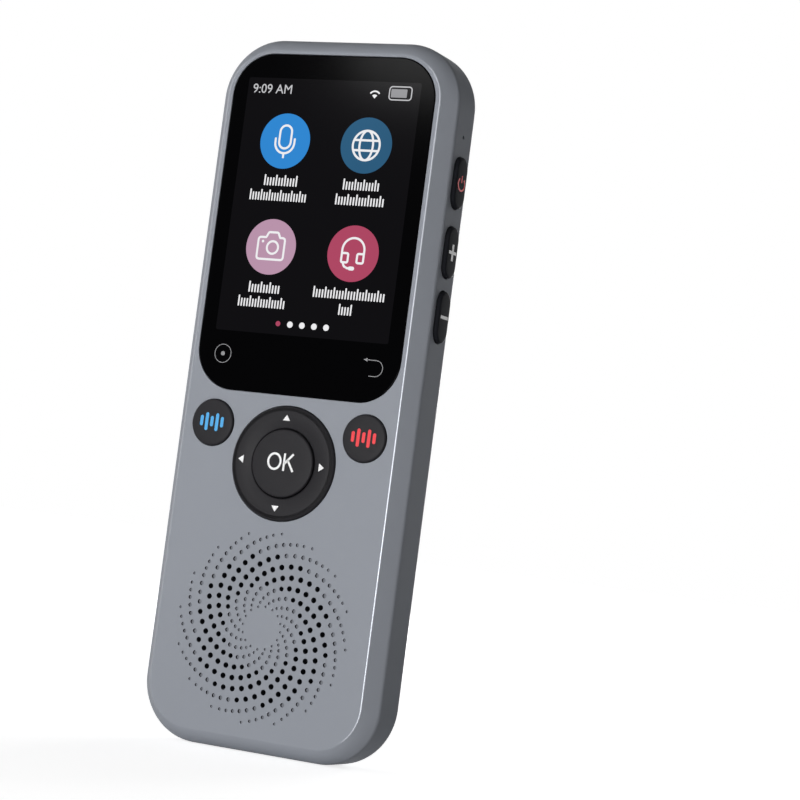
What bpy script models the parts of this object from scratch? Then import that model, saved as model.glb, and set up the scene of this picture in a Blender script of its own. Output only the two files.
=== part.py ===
"""A handheld translator: a slim grey bar with a display, a ring key, two round keys, a spiral speaker
grille, three side keys, a card tray and a rear camera.

Frame: metres. The bar stands on its bottom end, +Z runs up its length, the display faces -Y, and +X is
the side that carries the three side keys. The origin is under the middle of the bar, at its lowest point.
Depths are measured from the front face towards the back.
"""

import math

import bmesh
import bpy
from mathutils import Matrix, Vector

# Clearances
GAP = 0.0003
KEY_CLEARANCE = 0.00025
SCREW_CLEARANCE = 0.0003
CUT_OVERRUN = 0.002
SAME_POINT = 0.000001
END_FACE_SHARE = 0.99

# Cover glass: the bar's width and length follow from it
GLASS_WIDTH = 0.04288
GLASS_LENGTH = 0.06495
GLASS_SIDE_MARGIN = 0.00356
GLASS_TOP_MARGIN = 0.0035
GLASS_THICKNESS = 0.0008
GLASS_CORNER = 0.0082
GLASS_EDGE_ROUND = 0.0002
BODY_WIDTH = GLASS_WIDTH + 2 * GLASS_SIDE_MARGIN
HALF_WIDTH = BODY_WIDTH / 2

# Outside of the bar, from the front face to the back
BODY_CORNER = 0.0117
FRONT_EDGE_ROUND = 0.00025
FRONT_BAND_INSET = 0.0025
FRONT_BAND_DEPTH = 0.0031
SIDE_WALL_DEPTH = 0.0075
CREASE_ROUND = 0.0003
REAR_BAND_INSET = 0.0008
REAR_BAND_DEPTH = 0.0012
COVER_RISE = 0.0028
SIDE_MIDDLE_DEPTH = FRONT_BAND_DEPTH + SIDE_WALL_DEPTH / 2
SIDE_END_DEPTH = FRONT_BAND_DEPTH + SIDE_WALL_DEPTH
RIM_DEPTH = SIDE_END_DEPTH + REAR_BAND_DEPTH
BODY_DEPTH = RIM_DEPTH + COVER_RISE

# Walls of the front housing
FACE_WALL = 0.0018
SIDE_WALL = 0.0016
INNER_CORNER_INSET = 0.0006
INNER_CREASE_DROP = 0.0006
RIM_LAND = 0.00035
LEDGE_BELOW_RIM = 0.0007
LEDGE_DEPTH = RIM_DEPTH - LEDGE_BELOW_RIM

# Rear cover
COVER_INSET = REAR_BAND_INSET + RIM_LAND + GAP
COVER_SIDE_SLOPE = 0.0032
COVER_END_SLOPE = 0.0085
COVER_WALL = 0.0013
COVER_PLATEAU_CORNER = 0.0098
COVER_SLOPE_STEPS = 8
COVER_RUN_POWER = 1.15
COVER_RISE_POWER = 0.9
COVER_INNER_SHARES = (0.45, 0.70, 1.0)
COVER_INNER_DEPTH = BODY_DEPTH - COVER_WALL
SKIRT_LENGTH = 0.0016
SKIRT_WALL = 0.0010

# Speaker grille: arms of dots along a spiral, above the bottom end
GRILLE_SIDE_MARGIN = 0.00711
GRILLE_END_MARGIN = 0.00551
GRILLE_OUTER_RADIUS = HALF_WIDTH - GRILLE_SIDE_MARGIN
GRILLE_HEIGHT = GRILLE_END_MARGIN + GRILLE_OUTER_RADIUS
GRILLE_INNER_RADIUS = 0.00402
GRILLE_ARMS = 16
GRILLE_START_DEGREES = 41.0
GRILLE_SWEEP_DEGREES = 128.6
GRILLE_CURL_DEGREES = 7.8
GRILLE_HOLE_RADIUS = 0.0005
GRILLE_ARM_DOTS = 20
GRILLE_FIRST_HOLE = 5
GRILLE_LAST_HOLE = 11
GRILLE_CROWDING_SHARE = 1.3
GRILLE_GROWTH_POWER = 2.2
GRILLE_FADE_POWER = 1.5
GRILLE_LOW_SHARE = 0.2
GRILLE_HOLE_SIDES = 8

# Keys on the face: two round keys near the sides, and between them the ring key with its middle key
VOICE_KEY_RADIUS = 0.00453
VOICE_KEY_SIDE_MARGIN = 0.00434
VOICE_KEY_RISE = 0.00627
VOICE_KEY_PROUD = 0.0006
VOICE_KEY_FLANGE = 0.0007
VOICE_KEY_FOOT_RADIUS = 0.0022
VOICE_KEY_STEPS = 40
VOICE_KEY_X = HALF_WIDTH - VOICE_KEY_SIDE_MARGIN - VOICE_KEY_RADIUS
VOICE_KEY_TO_RING = 0.00187
RING_RADIUS = math.hypot(VOICE_KEY_X, VOICE_KEY_RISE) - VOICE_KEY_RADIUS - VOICE_KEY_TO_RING
RING_WIDTH = 0.0041
RING_FLANGE = 0.0007
RING_PROUD = 0.0008
RING_DISH = 0.0004
RING_FLANGE_TOP_GAP = 0.00045
RING_HEIGHT = 0.0043
RING_BASE_DEPTH = RING_HEIGHT - RING_PROUD
RING_BORE = RING_RADIUS - RING_WIDTH
OK_RADIUS = RING_BORE - GAP
OK_PROUD = 0.0006
OK_FLANGE = 0.0008
OK_FLANGE_RADIUS = OK_RADIUS + OK_FLANGE
OK_FLANGE_THICKNESS = 0.0006
KEY_FLANGE_THICKNESS = 0.0007
KEY_EDGE_ROUND = 0.00035
KEY_STEPS = 56
GRILLE_TO_RING = 0.00207
KEYS_HEIGHT = GRILLE_HEIGHT + GRILLE_OUTER_RADIUS + GRILLE_TO_RING + RING_RADIUS
ROCKER_TO_OK_FLANGE = 0.0006
ROCKER_INSIDE_RING = 0.0011
ROCKER_INNER_RADIUS = OK_FLANGE_RADIUS + ROCKER_TO_OK_FLANGE
ROCKER_OUTER_RADIUS = RING_RADIUS - ROCKER_INSIDE_RING
ROCKER_THICKNESS = 0.0007
ROCKER_GAP = 0.0004
ROCKER_FRONT = RING_BASE_DEPTH + ROCKER_GAP
MAT_THICKNESS = 0.0009
MAT_GAP = 0.0004
MAT_FRONT = ROCKER_FRONT + ROCKER_THICKNESS + MAT_GAP
MAT_SIDE_MARGIN = 0.0040
MAT_CORNER = 0.0030
MAT_TAIL = 0.0007
DOME_RADIUS = 0.0020
DOME_HEIGHT = 0.0003
DOME_CROWN_SHARE = 0.45
DOME_REACH = (RING_RADIUS + OK_RADIUS) / 2

# Where the glass and the bar end
RING_TO_GLASS = 0.00187
GLASS_TOP = KEYS_HEIGHT + RING_RADIUS + RING_TO_GLASS + GLASS_LENGTH
GLASS_MIDDLE = GLASS_TOP - GLASS_LENGTH / 2
BODY_LENGTH = GLASS_TOP + GLASS_TOP_MARGIN
MIDDLE_HEIGHT = BODY_LENGTH / 2

# Display behind the glass
WINDOW_MARGIN = 0.0030
WINDOW_CORNER = 0.0030
DISPLAY_SIDE_MARGIN = 0.00184
DISPLAY_UPPER_MARGIN = 0.0036
DISPLAY_LOWER_MARGIN = 0.00675
DISPLAY_WIDTH = GLASS_WIDTH - 2 * DISPLAY_SIDE_MARGIN
DISPLAY_LENGTH = GLASS_LENGTH - DISPLAY_UPPER_MARGIN - DISPLAY_LOWER_MARGIN
DISPLAY_THICKNESS = 0.0018
DISPLAY_CORNER = 0.0016
DISPLAY_TOP = GLASS_TOP - DISPLAY_UPPER_MARGIN
DISPLAY_MIDDLE = DISPLAY_TOP - DISPLAY_LENGTH / 2
DISPLAY_FRONT = FACE_WALL + GAP
FRAME_PLATE = 0.0005
FRAME_MARGIN = 0.0009
FRAME_LOWER_TAIL = 0.0060
FRAME_CORNER = 0.0035
FRAME_FRONT = DISPLAY_FRONT + DISPLAY_THICKNESS + GAP
FRAME_TOP = DISPLAY_TOP + FRAME_MARGIN
FRAME_BOTTOM = DISPLAY_TOP - DISPLAY_LENGTH - FRAME_LOWER_TAIL
STANDOFF_RADIUS = 0.0015
STANDOFF_BORE = 0.00085
STANDOFF_LOWER_INSET = 0.0027
STANDOFF_UPPER_INSET = 0.0065
STANDOFF_UPPER_DROP = 0.0025
STANDOFF_LOWER_RISE = 0.0025

# Loudspeaker behind the grille
MESH_OVERLAP = 0.00008
MESH_RADIUS = GRILLE_OUTER_RADIUS + MESH_OVERLAP
MESH_THICKNESS = 0.0002
GASKET_INSIDE_MESH = 0.0014
GASKET_WIDTH = 0.0016
GASKET_OUTER_RADIUS = MESH_RADIUS - GASKET_INSIDE_MESH
GASKET_INNER_RADIUS = GASKET_OUTER_RADIUS - GASKET_WIDTH
GASKET_THICKNESS = 0.0008
BASKET_RADIUS = GASKET_OUTER_RADIUS - GAP
BASKET_DEPTH = 0.0026
BASKET_FLOOR = 0.0006
BASKET_WALL = 0.0008
BASKET_BORE = 0.0045
CONE_RADIUS = BASKET_RADIUS - BASKET_WALL - 2 * GAP
CONE_NECK = 0.0042
CONE_THICKNESS = 0.0003
CONE_FALL = 0.0010
MAGNET_RADIUS = 0.0080
MAGNET_THICKNESS = 0.0019
SPEAKER_STEPS = 40

# Main board
BOARD_DEPTH = 0.0068
BOARD_THICKNESS = 0.0010
BOARD_SIDE_MARGIN = 0.0057
BOARD_TOP_MARGIN = 0.0046
BOARD_TAIL = 0.0005
BOARD_CORNER = 0.0025
BOARD_HALF_WIDTH = HALF_WIDTH - BOARD_SIDE_MARGIN
BOARD_BACK = BOARD_DEPTH + BOARD_THICKNESS
BOARD_TOP = BODY_LENGTH - BOARD_TOP_MARGIN
BOARD_BOTTOM = KEYS_HEIGHT - RING_RADIUS - BOARD_TAIL
SHIELD_WIDTH = 0.0200
SHIELD_LENGTH = 0.0105
SHIELD_HEIGHT = 0.0015
SHIELD_DROP = 0.0290
SHIELD_EDGE_ROUND = 0.00015
SHIELD_CENTRE_HEIGHT = BODY_LENGTH - SHIELD_DROP
SCREW_HEAD_RADIUS = 0.0013
SCREW_HEAD_HEIGHT = 0.0006
SCREW_SHANK_RADIUS = 0.00055
SCREW_REACH = 0.0014
SCREW_STEPS = 16

# Side keys, with their places measured down from the top end
SIDE_KEY_DROPS = {"power_button": 0.0254, "volume_up_button": 0.0385, "volume_down_button": 0.0507}
SIDE_KEY_LENGTH = 0.0097
SIDE_KEY_WALL_MARGIN = 0.00135
SIDE_KEY_WIDTH = SIDE_WALL_DEPTH - 2 * SIDE_KEY_WALL_MARGIN
SIDE_KEY_PROUD = 0.0008
SIDE_KEY_ROUND = 0.0003
SIDE_FLANGE_MARGIN = 0.0005
SIDE_FLANGE_THICKNESS = 0.0006
SIDE_SWITCH_LENGTH = 0.0036
SIDE_SWITCH_WIDTH = 0.0026
SIDE_SWITCH_THICKNESS = 0.0009
SIDE_SWITCH_GAP = 0.00035
SIDE_BOARD_THICKNESS = 0.0005
SIDE_BOARD_END = 0.0035
SIDE_BOARD_WIDTH = 0.0040
MIC_DROP = 0.0167
MIC_HOLE_RADIUS = 0.0004
MIC_RADIUS = 0.0012
MIC_THICKNESS = 0.0010
MIC_HEIGHT = BODY_LENGTH - MIC_DROP

# Card tray and its socket
TRAY_BELOW_DISPLAY_MIDDLE = 0.0147
TRAY_DEPTH = 0.0057
TRAY_FACE_LENGTH = 0.0139
TRAY_FACE_WIDTH = 0.0026
TRAY_FACE_THICKNESS = 0.0012
TRAY_FACE_ROUND = 0.00015
TRAY_BLADE_WIDTH = 0.0112
TRAY_BLADE_THICKNESS = 0.0005
TRAY_BLADE_LENGTH = 0.0150
TRAY_POCKET_LENGTH = 0.0105
TRAY_POCKET_WIDTH = 0.0086
TRAY_HEIGHT = DISPLAY_MIDDLE - TRAY_BELOW_DISPLAY_MIDDLE
SOCKET_WALL = 0.0004
SOCKET_FROM_EDGE = 0.0003
SOCKET_END_ROOM = 0.0033

# Battery and antenna
BATTERY_SIDE_MARGIN = 0.0008
BATTERY_ABOVE_BOARD_END = 0.0051
BATTERY_TO_SHIELD = 0.0053
BATTERY_GAP = 0.0003
BATTERY_ROUND = 0.0008
ANTENNA_WIDTH = 0.0240
ANTENNA_LENGTH = 0.0080
ANTENNA_THICKNESS = 0.0002

# Rear camera
CAMERA_DROP = 0.0159
CAMERA_HEIGHT = BODY_LENGTH - CAMERA_DROP
CAMERA_RING_RADIUS = 0.0062
CAMERA_RING_PROUD = 0.00035
CAMERA_RING_LIP = 0.0006
CAMERA_CONE_DROP = 0.0008
CAMERA_BARREL_RADIUS = 0.0026
CAMERA_BARREL_BORE = 0.0015
CAMERA_BARREL_BELOW = 0.0002
CAMERA_BARREL_FOOT = 0.0009
CAMERA_LENS_RADIUS = 0.0012
CAMERA_LENS_BELOW = 0.0003
CAMERA_LENS_CROWN = 0.0003
CAMERA_MODULE_SIZE = 0.0082
CAMERA_STEPS = 56

# USB inlet
USB_WIDTH = 0.00894
USB_HEIGHT = 0.00316
USB_LENGTH = 0.0062
USB_WALL = 0.0003
USB_TONGUE_WIDTH = 0.0066
USB_TONGUE_THICKNESS = 0.0007
USB_BOARD_WIDTH = 0.0180
USB_BOARD_LENGTH = 0.0100
USB_BOARD_THICKNESS = 0.0008
USB_BOARD_CORNER = 0.0012

CORNER_STEPS = 12

COLOURS = {
    "shell_grey": ((0.330, 0.345, 0.370), 0.42, 0.35),
    "key_black": ((0.030, 0.031, 0.034), 0.55, 0.0),
    "glass_black": ((0.004, 0.004, 0.005), 0.06, 0.0),
    "display_dark": ((0.015, 0.016, 0.020), 0.30, 0.0),
    "steel": ((0.560, 0.570, 0.580), 0.35, 1.0),
    "black_metal": ((0.025, 0.025, 0.028), 0.28, 1.0),
    "lens_glass": ((0.050, 0.030, 0.120), 0.05, 0.0),
    "board_green": ((0.020, 0.110, 0.060), 0.45, 0.0),
    "silicone": ((0.120, 0.120, 0.125), 0.80, 0.0),
    "battery_silver": ((0.420, 0.430, 0.440), 0.50, 0.3),
    "magnet_nickel": ((0.500, 0.500, 0.490), 0.30, 1.0),
    "cloth_black": ((0.015, 0.015, 0.016), 0.90, 0.0),
    "flex_amber": ((0.380, 0.170, 0.040), 0.45, 0.0),
}


def clear_scene():
    """Remove every object that the file opened with."""
    for found in list(bpy.data.objects):
        bpy.data.objects.remove(found, do_unlink=True)


def make_collection(name):
    collection = bpy.data.collections.new(name)
    bpy.context.scene.collection.children.link(collection)
    return collection


def make_material(name):
    colour, roughness, metallic = COLOURS[name]
    material = bpy.data.materials.new(name)
    material.use_nodes = True
    shader = material.node_tree.nodes["Principled BSDF"]
    shader.inputs["Base Color"].default_value = (*colour, 1.0)
    shader.inputs["Roughness"].default_value = roughness
    shader.inputs["Metallic"].default_value = metallic
    return material


def depth_y(depth):
    """World Y of a depth measured from the front face."""
    return depth - BODY_DEPTH / 2


def add_mesh(name, mesh_data, material_name, place=(0.0, 0.0, 0.0)):
    """Put a bmesh into a new object of the translator's collection."""
    mesh = bpy.data.meshes.new(name)
    bmesh.ops.recalc_face_normals(mesh_data, faces=mesh_data.faces)
    mesh_data.to_mesh(mesh)
    mesh_data.free()
    thing = bpy.data.objects.new(name, mesh)
    thing.location = place
    PARTS.objects.link(thing)
    if material_name:
        mesh.materials.append(MATERIALS[material_name])
    return thing


def smooth(thing, degrees=32.0):
    thing.data.shade_smooth()
    thing.data.set_sharp_from_angle(angle=math.radians(degrees))


def move_to_cutters(thing):
    PARTS.objects.unlink(thing)
    CUTTERS.objects.link(thing)
    thing.hide_render = True
    thing.display_type = "WIRE"


def combine(thing, other, operation):
    """Cut another object out of a thing, or join it to the thing, and keep the result as its mesh."""
    modifier = thing.modifiers.new(operation.lower(), "BOOLEAN")
    modifier.operation = operation
    modifier.object = other
    graph = bpy.context.evaluated_depsgraph_get()
    result = bpy.data.meshes.new_from_object(thing.evaluated_get(graph))
    thing.modifiers.clear()
    thing.data = result
    bpy.data.objects.remove(other, do_unlink=True)


def cut(thing, cutter):
    move_to_cutters(cutter)
    combine(thing, cutter, "DIFFERENCE")


def join(thing, other):
    combine(thing, other, "UNION")


def rounded_ring(half_width, half_length, corner, steps=CORNER_STEPS):
    """Points of a rounded rectangle in the XZ plane, counter-clockwise seen from the front."""
    radius = min(corner, half_width, half_length)
    points = []
    for turn, (side_x, side_z) in enumerate(((1, 1), (-1, 1), (-1, -1), (1, -1))):
        centre_x = side_x * (half_width - radius)
        centre_z = side_z * (half_length - radius)
        for step in range(steps + 1):
            angle = math.radians(90.0) * (turn + step / steps)
            point = (centre_x + radius * math.cos(angle), centre_z + radius * math.sin(angle))
            if not points or math.dist(point, points[-1]) > SAME_POINT:
                points.append(point)
    if math.dist(points[0], points[-1]) < SAME_POINT:
        points.pop()
    return points


def loft(name, sections, material_name, place, steps=CORNER_STEPS):
    """A closed solid through rounded rectangles of unlike size.

    Each section is (half width, half length, corner radius, depth). Place is the sections' middle (x, z).
    """
    shape = bmesh.new()
    rings = []
    for half_width, half_length, corner, depth in sections:
        outline = rounded_ring(half_width, half_length, corner, steps)
        rings.append([shape.verts.new((x, depth_y(depth), z)) for x, z in outline])
    count = len(rings[0])
    for lower, upper in zip(rings, rings[1:]):
        for i in range(count):
            j = (i + 1) % count
            shape.faces.new((lower[i], lower[j], upper[j], upper[i]))
    shape.faces.new(list(reversed(rings[0])))
    shape.faces.new(rings[-1])
    return add_mesh(name, shape, material_name, (place[0], 0.0, place[1]))


def rounded_plate(name, size, corner, axis, middle, material_name, edge=0.0, steps=6):
    """A box whose four edges along one axis are rounded, with bevelled ends where edge is set."""
    shape = bmesh.new()
    bmesh.ops.create_cube(shape, size=1.0, matrix=Matrix.Diagonal((*size, 1.0)))
    along = [line for line in shape.edges if abs((line.verts[0].co - line.verts[1].co)[axis]) > SAME_POINT]
    bmesh.ops.bevel(shape, geom=along, offset=corner, segments=steps, profile=0.5, affect="EDGES")
    bmesh.ops.remove_doubles(shape, verts=shape.verts, dist=SAME_POINT)
    if edge > 0.0:
        shape.normal_update()
        ends = [face for face in shape.faces if abs(face.normal[axis]) > END_FACE_SHARE]
        rims = list({line for face in ends for line in face.edges})
        bmesh.ops.bevel(shape, geom=rims, offset=edge, segments=1, profile=0.5, affect="EDGES")
    return add_mesh(name, shape, material_name, middle)


def slab(name, width, length, corner, front, back, material_name, place, edge=0.0, steps=6):
    """A flat plate that faces the front, from one depth to another, with its middle at place (x, z)."""
    middle = (place[0], depth_y((front + back) / 2), place[1])
    return rounded_plate(name, (width, back - front, length), corner, 1, middle, material_name, edge, steps)


def turned(name, profile, material_name, place, steps=KEY_STEPS):
    """Turn a profile about an axis along Y. The profile is (radius, depth) pairs, down its outer side.

    A solid piece's profile starts and ends on the axis, at radius zero. A ring's profile is closed.
    """
    mesh = bpy.data.meshes.new(name)
    shape = bmesh.new()
    points = [shape.verts.new((radius, 0.0, -depth)) for radius, depth in profile]
    for first, second in zip(points, points[1:]):
        shape.edges.new((first, second))
    if profile[0][0] > 0.0:
        shape.edges.new((points[-1], points[0]))
    shape.to_mesh(mesh)
    shape.free()
    thing = bpy.data.objects.new(name, mesh)
    PARTS.objects.link(thing)
    screw = thing.modifiers.new("turn", "SCREW")
    screw.axis = "Z"
    screw.steps = steps
    screw.render_steps = steps
    screw.use_merge_vertices = True
    screw.merge_threshold = 0.00001
    graph = bpy.context.evaluated_depsgraph_get()
    result = bpy.data.meshes.new_from_object(thing.evaluated_get(graph))
    bpy.data.objects.remove(thing, do_unlink=True)
    result.transform(Matrix.Rotation(math.radians(90.0), 4, "X"))
    shape = bmesh.new()
    shape.from_mesh(result)
    bmesh.ops.remove_doubles(shape, verts=shape.verts, dist=SAME_POINT)
    result.materials.clear()
    turned_thing = add_mesh(name, shape, material_name, (place[0], -BODY_DEPTH / 2, place[1]))
    smooth(turned_thing)
    return turned_thing


def round_cutter(radius, front, back, place, sides=32):
    """A drill along Y from one depth to another."""
    shape = bmesh.new()
    bmesh.ops.create_cone(
        shape, cap_ends=True, segments=sides, radius1=radius, radius2=radius, depth=back - front
    )
    bmesh.ops.rotate(shape, matrix=Matrix.Rotation(math.radians(90.0), 3, "X"), verts=shape.verts)
    middle = Vector((place[0], depth_y((front + back) / 2), place[1]))
    bmesh.ops.translate(shape, vec=middle, verts=shape.verts)
    return add_mesh("drill", shape, None)


def block(name, size, middle, material_name, chamfer=0.0):
    """A box from its size and its middle in world coordinates, with bevelled edges where chamfer is set."""
    shape = bmesh.new()
    bmesh.ops.create_cube(shape, size=1.0, matrix=Matrix.Diagonal((*size, 1.0)))
    if chamfer > 0.0:
        bmesh.ops.bevel(shape, geom=shape.edges[:], offset=chamfer, segments=2, affect="EDGES", profile=0.5)
    return add_mesh(name, shape, material_name, middle)


def side_plate(name, length, width, near, far, material_name, side, height, depth, edge=0.0, steps=5):
    """A round-ended plate along a side wall. Near and far are its distances from the bar's middle plane."""
    middle = (side * (near + far) / 2, depth_y(depth), height)
    return rounded_plate(name, (far - near, width, length), width / 2, 0, middle, material_name, edge, steps)


def body_section(inset, depth):
    """A section of the bar that lies the same distance inside its outline all round."""
    return (HALF_WIDTH - inset, BODY_LENGTH / 2 - inset, BODY_CORNER - inset, depth)


def grille_places():
    """Middles of the drilled grille holes.

    Each arm winds clockwise as it leaves the middle. Its radius grows with the share of the way out, and its
    turn with that share and a little more with the share's square. The share runs ahead of an even spacing in
    the middle of the arm. Arms that end in the lower part of the grille have one hole more.
    """
    places = []
    for arm in range(GRILLE_ARMS):
        start = GRILLE_START_DEGREES + arm * 360.0 / GRILLE_ARMS
        for dot in range(GRILLE_FIRST_HOLE, GRILLE_LAST_HOLE + 2):
            even = dot / (GRILLE_ARM_DOTS - 1)
            crowding = even ** GRILLE_GROWTH_POWER * (1.0 - even) ** GRILLE_FADE_POWER
            share = even + GRILLE_CROWDING_SHARE * crowding
            radius = GRILLE_INNER_RADIUS + (GRILLE_OUTER_RADIUS - GRILLE_INNER_RADIUS) * share
            turn = GRILLE_SWEEP_DEGREES * share + GRILLE_CURL_DEGREES * share * share
            angle = math.radians(start - turn)
            if dot > GRILLE_LAST_HOLE and math.sin(angle) > -GRILLE_LOW_SHARE:
                continue
            places.append((radius * math.cos(angle), GRILLE_HEIGHT + radius * math.sin(angle)))
    return places


def grille_drills():
    """All the grille's drills as one mesh of separate prisms."""
    shape = bmesh.new()
    tilt = Matrix.Rotation(math.radians(90.0), 4, "X")
    for x, z in grille_places():
        matrix = Matrix.Translation((x, depth_y(FACE_WALL / 2), z)) @ tilt
        bmesh.ops.create_cone(
            shape,
            cap_ends=True,
            segments=GRILLE_HOLE_SIDES,
            radius1=GRILLE_HOLE_RADIUS,
            radius2=GRILLE_HOLE_RADIUS,
            depth=FACE_WALL + 2 * CUT_OVERRUN,
            matrix=matrix,
        )
    return add_mesh("grille_drills", shape, None)


def make_front_housing():
    """One tub. Its section runs over the face, the slanted front band, the side wall, the slanted rear
    band, the rim, the ledge for the cover, and back along the inside of the walls to behind the face.
    """
    band_top = CREASE_ROUND * FRONT_BAND_INSET / FRONT_BAND_DEPTH
    sections = [
        body_section(FRONT_BAND_INSET + FRONT_EDGE_ROUND, 0.0),
        body_section(FRONT_BAND_INSET, FRONT_EDGE_ROUND / 2),
        body_section(FRONT_BAND_INSET - FRONT_EDGE_ROUND / 2, FRONT_EDGE_ROUND),
        body_section(band_top, FRONT_BAND_DEPTH - CREASE_ROUND),
        body_section(0.0, FRONT_BAND_DEPTH + CREASE_ROUND),
        body_section(0.0, SIDE_END_DEPTH),
        body_section(REAR_BAND_INSET, RIM_DEPTH),
        body_section(REAR_BAND_INSET + RIM_LAND, RIM_DEPTH),
        body_section(REAR_BAND_INSET + RIM_LAND, LEDGE_DEPTH),
        body_section(SIDE_WALL, LEDGE_DEPTH),
        body_section(SIDE_WALL, FRONT_BAND_DEPTH + INNER_CREASE_DROP),
        body_section(FRONT_BAND_INSET + INNER_CORNER_INSET, FACE_WALL),
    ]
    housing = loft("front_housing", sections, "shell_grey", (0.0, MIDDLE_HEIGHT))
    cut_side_openings(housing)
    cut_display_pocket(housing)
    cut_key_holes(housing)
    cut(housing, grille_drills())
    smooth(housing)
    return housing


def cut_display_pocket(housing):
    """The shallow pocket of the cover glass, and the window behind it."""
    pocket = slab(
        "pocket", GLASS_WIDTH + 2 * GAP, GLASS_LENGTH + 2 * GAP, GLASS_CORNER + GAP,
        -CUT_OVERRUN, GLASS_THICKNESS + GAP, None, (0.0, GLASS_MIDDLE), steps=CORNER_STEPS,
    )
    cut(housing, pocket)
    window = slab(
        "window", GLASS_WIDTH - 2 * WINDOW_MARGIN, DISPLAY_LENGTH - 2 * DISPLAY_CORNER, WINDOW_CORNER,
        -CUT_OVERRUN, FACE_WALL + CUT_OVERRUN, None, (0.0, DISPLAY_MIDDLE),
    )
    cut(housing, window)


def cut_key_holes(housing):
    """Round holes for the ring key and the two round keys."""
    holes = [(RING_RADIUS, 0.0, KEYS_HEIGHT, KEY_STEPS)]
    for side in (-1, 1):
        holes.append((VOICE_KEY_RADIUS, side * VOICE_KEY_X, KEYS_HEIGHT + VOICE_KEY_RISE, VOICE_KEY_STEPS))
    for radius, x, z, sides in holes:
        drill = round_cutter(radius + KEY_CLEARANCE, -CUT_OVERRUN, FACE_WALL + CUT_OVERRUN, (x, z), sides)
        cut(housing, drill)


def cut_side_openings(housing):
    """Long holes for the side keys and the tray, the microphone's pin hole and the USB mouth."""
    wall_out = HALF_WIDTH + CUT_OVERRUN
    wall_in = HALF_WIDTH - SIDE_WALL - CUT_OVERRUN
    for drop in SIDE_KEY_DROPS.values():
        length = SIDE_KEY_LENGTH + 2 * KEY_CLEARANCE
        width = SIDE_KEY_WIDTH + 2 * KEY_CLEARANCE
        height = BODY_LENGTH - drop
        slot = side_plate("key_slot", length, width, wall_in, wall_out, None, 1, height, SIDE_MIDDLE_DEPTH)
        cut(housing, slot)
    length = TRAY_FACE_LENGTH + 2 * KEY_CLEARANCE
    width = TRAY_FACE_WIDTH + 2 * KEY_CLEARANCE
    slot = side_plate("tray_slot", length, width, wall_in, wall_out, None, -1, TRAY_HEIGHT, TRAY_DEPTH)
    cut(housing, slot)
    pin = 2 * MIC_HOLE_RADIUS
    mouth_depth = SIDE_MIDDLE_DEPTH
    hole = side_plate("mic_hole", pin, pin, wall_in, wall_out, None, 1, MIC_HEIGHT, mouth_depth, steps=3)
    cut(housing, hole)
    cut(housing, usb_sleeve("usb_mouth", KEY_CLEARANCE, -CUT_OVERRUN, SIDE_WALL + CUT_OVERRUN, None))


def usb_sleeve(name, growth, bottom, top, material_name):
    """A round-ended prism along Z round the USB inlet's middle."""
    width = USB_WIDTH + 2 * growth
    height = USB_HEIGHT + 2 * growth
    middle = (0.0, depth_y(SIDE_MIDDLE_DEPTH), (bottom + top) / 2)
    return rounded_plate(name, (width, height, top - bottom), height / 2, 2, middle, material_name)


def cover_section(share, thickness):
    """A section of the rear cover's pillow: share 0 is its edge at the seam, share 1 its flat plateau.

    The pillow rises along a quarter of a rounded curve, which is longer at the ends than at the sides.
    The run and the rise are the cosine and the sine of the way round that quarter, each raised to a power.
    """
    angle = share * math.radians(90.0)
    run = 1.0 - max(math.cos(angle), 0.0) ** COVER_RUN_POWER
    rise = math.sin(angle) ** COVER_RISE_POWER
    side = COVER_INSET + COVER_SIDE_SLOPE * run + thickness
    end = COVER_INSET + COVER_END_SLOPE * run + thickness
    corner = (BODY_CORNER - COVER_INSET) * (1.0 - run) + COVER_PLATEAU_CORNER * run - thickness
    depth = RIM_DEPTH + (BODY_DEPTH - RIM_DEPTH) * rise - thickness
    return (HALF_WIDTH - side, BODY_LENGTH / 2 - end, corner, depth)


def make_rear_cover():
    """A pillow with a skirt that reaches into the housing; the camera ring sits in a hole near its top."""
    skirt_outer = SIDE_WALL + GAP
    skirt_inner = skirt_outer + SKIRT_WALL
    ledge = LEDGE_DEPTH + GAP
    sections = [cover_section(step / COVER_SLOPE_STEPS, 0.0) for step in range(COVER_SLOPE_STEPS, -1, -1)]
    sections += [
        body_section(COVER_INSET, ledge),
        body_section(skirt_outer, ledge),
        body_section(skirt_outer, ledge - SKIRT_LENGTH),
        body_section(skirt_inner, ledge - SKIRT_LENGTH),
        body_section(skirt_inner, ledge),
    ]
    sections += [cover_section(share, COVER_WALL) for share in COVER_INNER_SHARES]
    cover = loft("rear_cover", sections, "shell_grey", (0.0, MIDDLE_HEIGHT))
    drill = round_cutter(
        CAMERA_RING_RADIUS + GAP, COVER_INNER_DEPTH - CUT_OVERRUN, BODY_DEPTH + CUT_OVERRUN,
        (0.0, CAMERA_HEIGHT), CAMERA_STEPS,
    )
    cut(cover, drill)
    smooth(cover)
    return cover


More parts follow.
